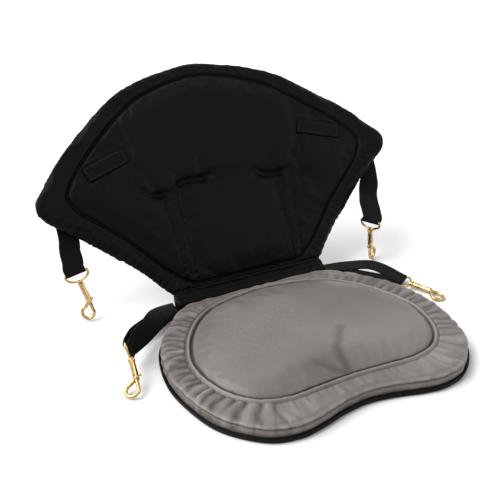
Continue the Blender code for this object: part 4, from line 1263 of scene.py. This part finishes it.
class KAYAKSEAT_OT_back(bpy.types.Operator):
    """Make the padded back and its sewn tabs"""

    bl_idname = "kayak_seat.back"
    bl_label = "Back"

    def execute(self, context):
        make_tabs(make_back_pad())
        return {"FINISHED"}


class KAYAKSEAT_OT_hinge(bpy.types.Operator):
    """Make the cloth roll that joins the seat and the back"""

    bl_idname = "kayak_seat.hinge"
    bl_label = "Hinge Roll"

    def execute(self, context):
        make_hinge_sleeve()
        return {"FINISHED"}


class KAYAKSEAT_OT_straps(bpy.types.Operator):
    """Make the four webbing straps"""

    bl_idname = "kayak_seat.straps"
    bl_label = "Straps"

    def execute(self, context):
        for name, strap in STRAPS.items():
            make_strap(name, strap)
        return {"FINISHED"}


class KAYAKSEAT_OT_snaps(bpy.types.Operator):
    """Make the four brass swivel snaps"""

    bl_idname = "kayak_seat.snaps"
    bl_label = "Snap Hooks"

    def execute(self, context):
        make_snaps()
        return {"FINISHED"}


class KAYAKSEAT_OT_stage(bpy.types.Operator):
    """Make the floor, the lamps and the camera"""

    bl_idname = "kayak_seat.stage"
    bl_label = "Stage"

    def execute(self, context):
        make_stage()
        return {"FINISHED"}


OPERATORS = (KAYAKSEAT_OT_stage, KAYAKSEAT_OT_seat, KAYAKSEAT_OT_back, KAYAKSEAT_OT_hinge,
             KAYAKSEAT_OT_straps, KAYAKSEAT_OT_snaps)


class KAYAKSEAT_PT_panel(bpy.types.Panel):
    """Lists the sizes, the colours and the pieces"""

    bl_idname = "KAYAKSEAT_PT_panel"
    bl_label = "Kayak Seat"
    bl_space_type = "VIEW_3D"
    bl_region_type = "UI"
    bl_category = "Kayak Seat"

    def draw(self, context):
        for group in (context.scene.kayak_seat_sizes, context.scene.kayak_seat_colours):
            for name in group.__annotations__:
                self.layout.prop(group, name)
        for operator in OPERATORS:
            self.layout.operator(operator.bl_idname)


def register():
    for item in (KayakSeatSizes, KayakSeatColours, *OPERATORS, KAYAKSEAT_PT_panel):
        bpy.utils.register_class(item)
    bpy.types.Scene.kayak_seat_sizes = PointerProperty(type=KayakSeatSizes)
    bpy.types.Scene.kayak_seat_colours = PointerProperty(type=KayakSeatColours)


def unregister():
    del bpy.types.Scene.kayak_seat_colours
    del bpy.types.Scene.kayak_seat_sizes
    for item in reversed((KayakSeatSizes, KayakSeatColours, *OPERATORS, KAYAKSEAT_PT_panel)):
        bpy.utils.unregister_class(item)


def main():
    register()
    for make in (bpy.ops.kayak_seat.stage, bpy.ops.kayak_seat.seat, bpy.ops.kayak_seat.back,
                 bpy.ops.kayak_seat.hinge, bpy.ops.kayak_seat.straps, bpy.ops.kayak_seat.snaps):
        make()


if __name__ == "__main__":
    main()
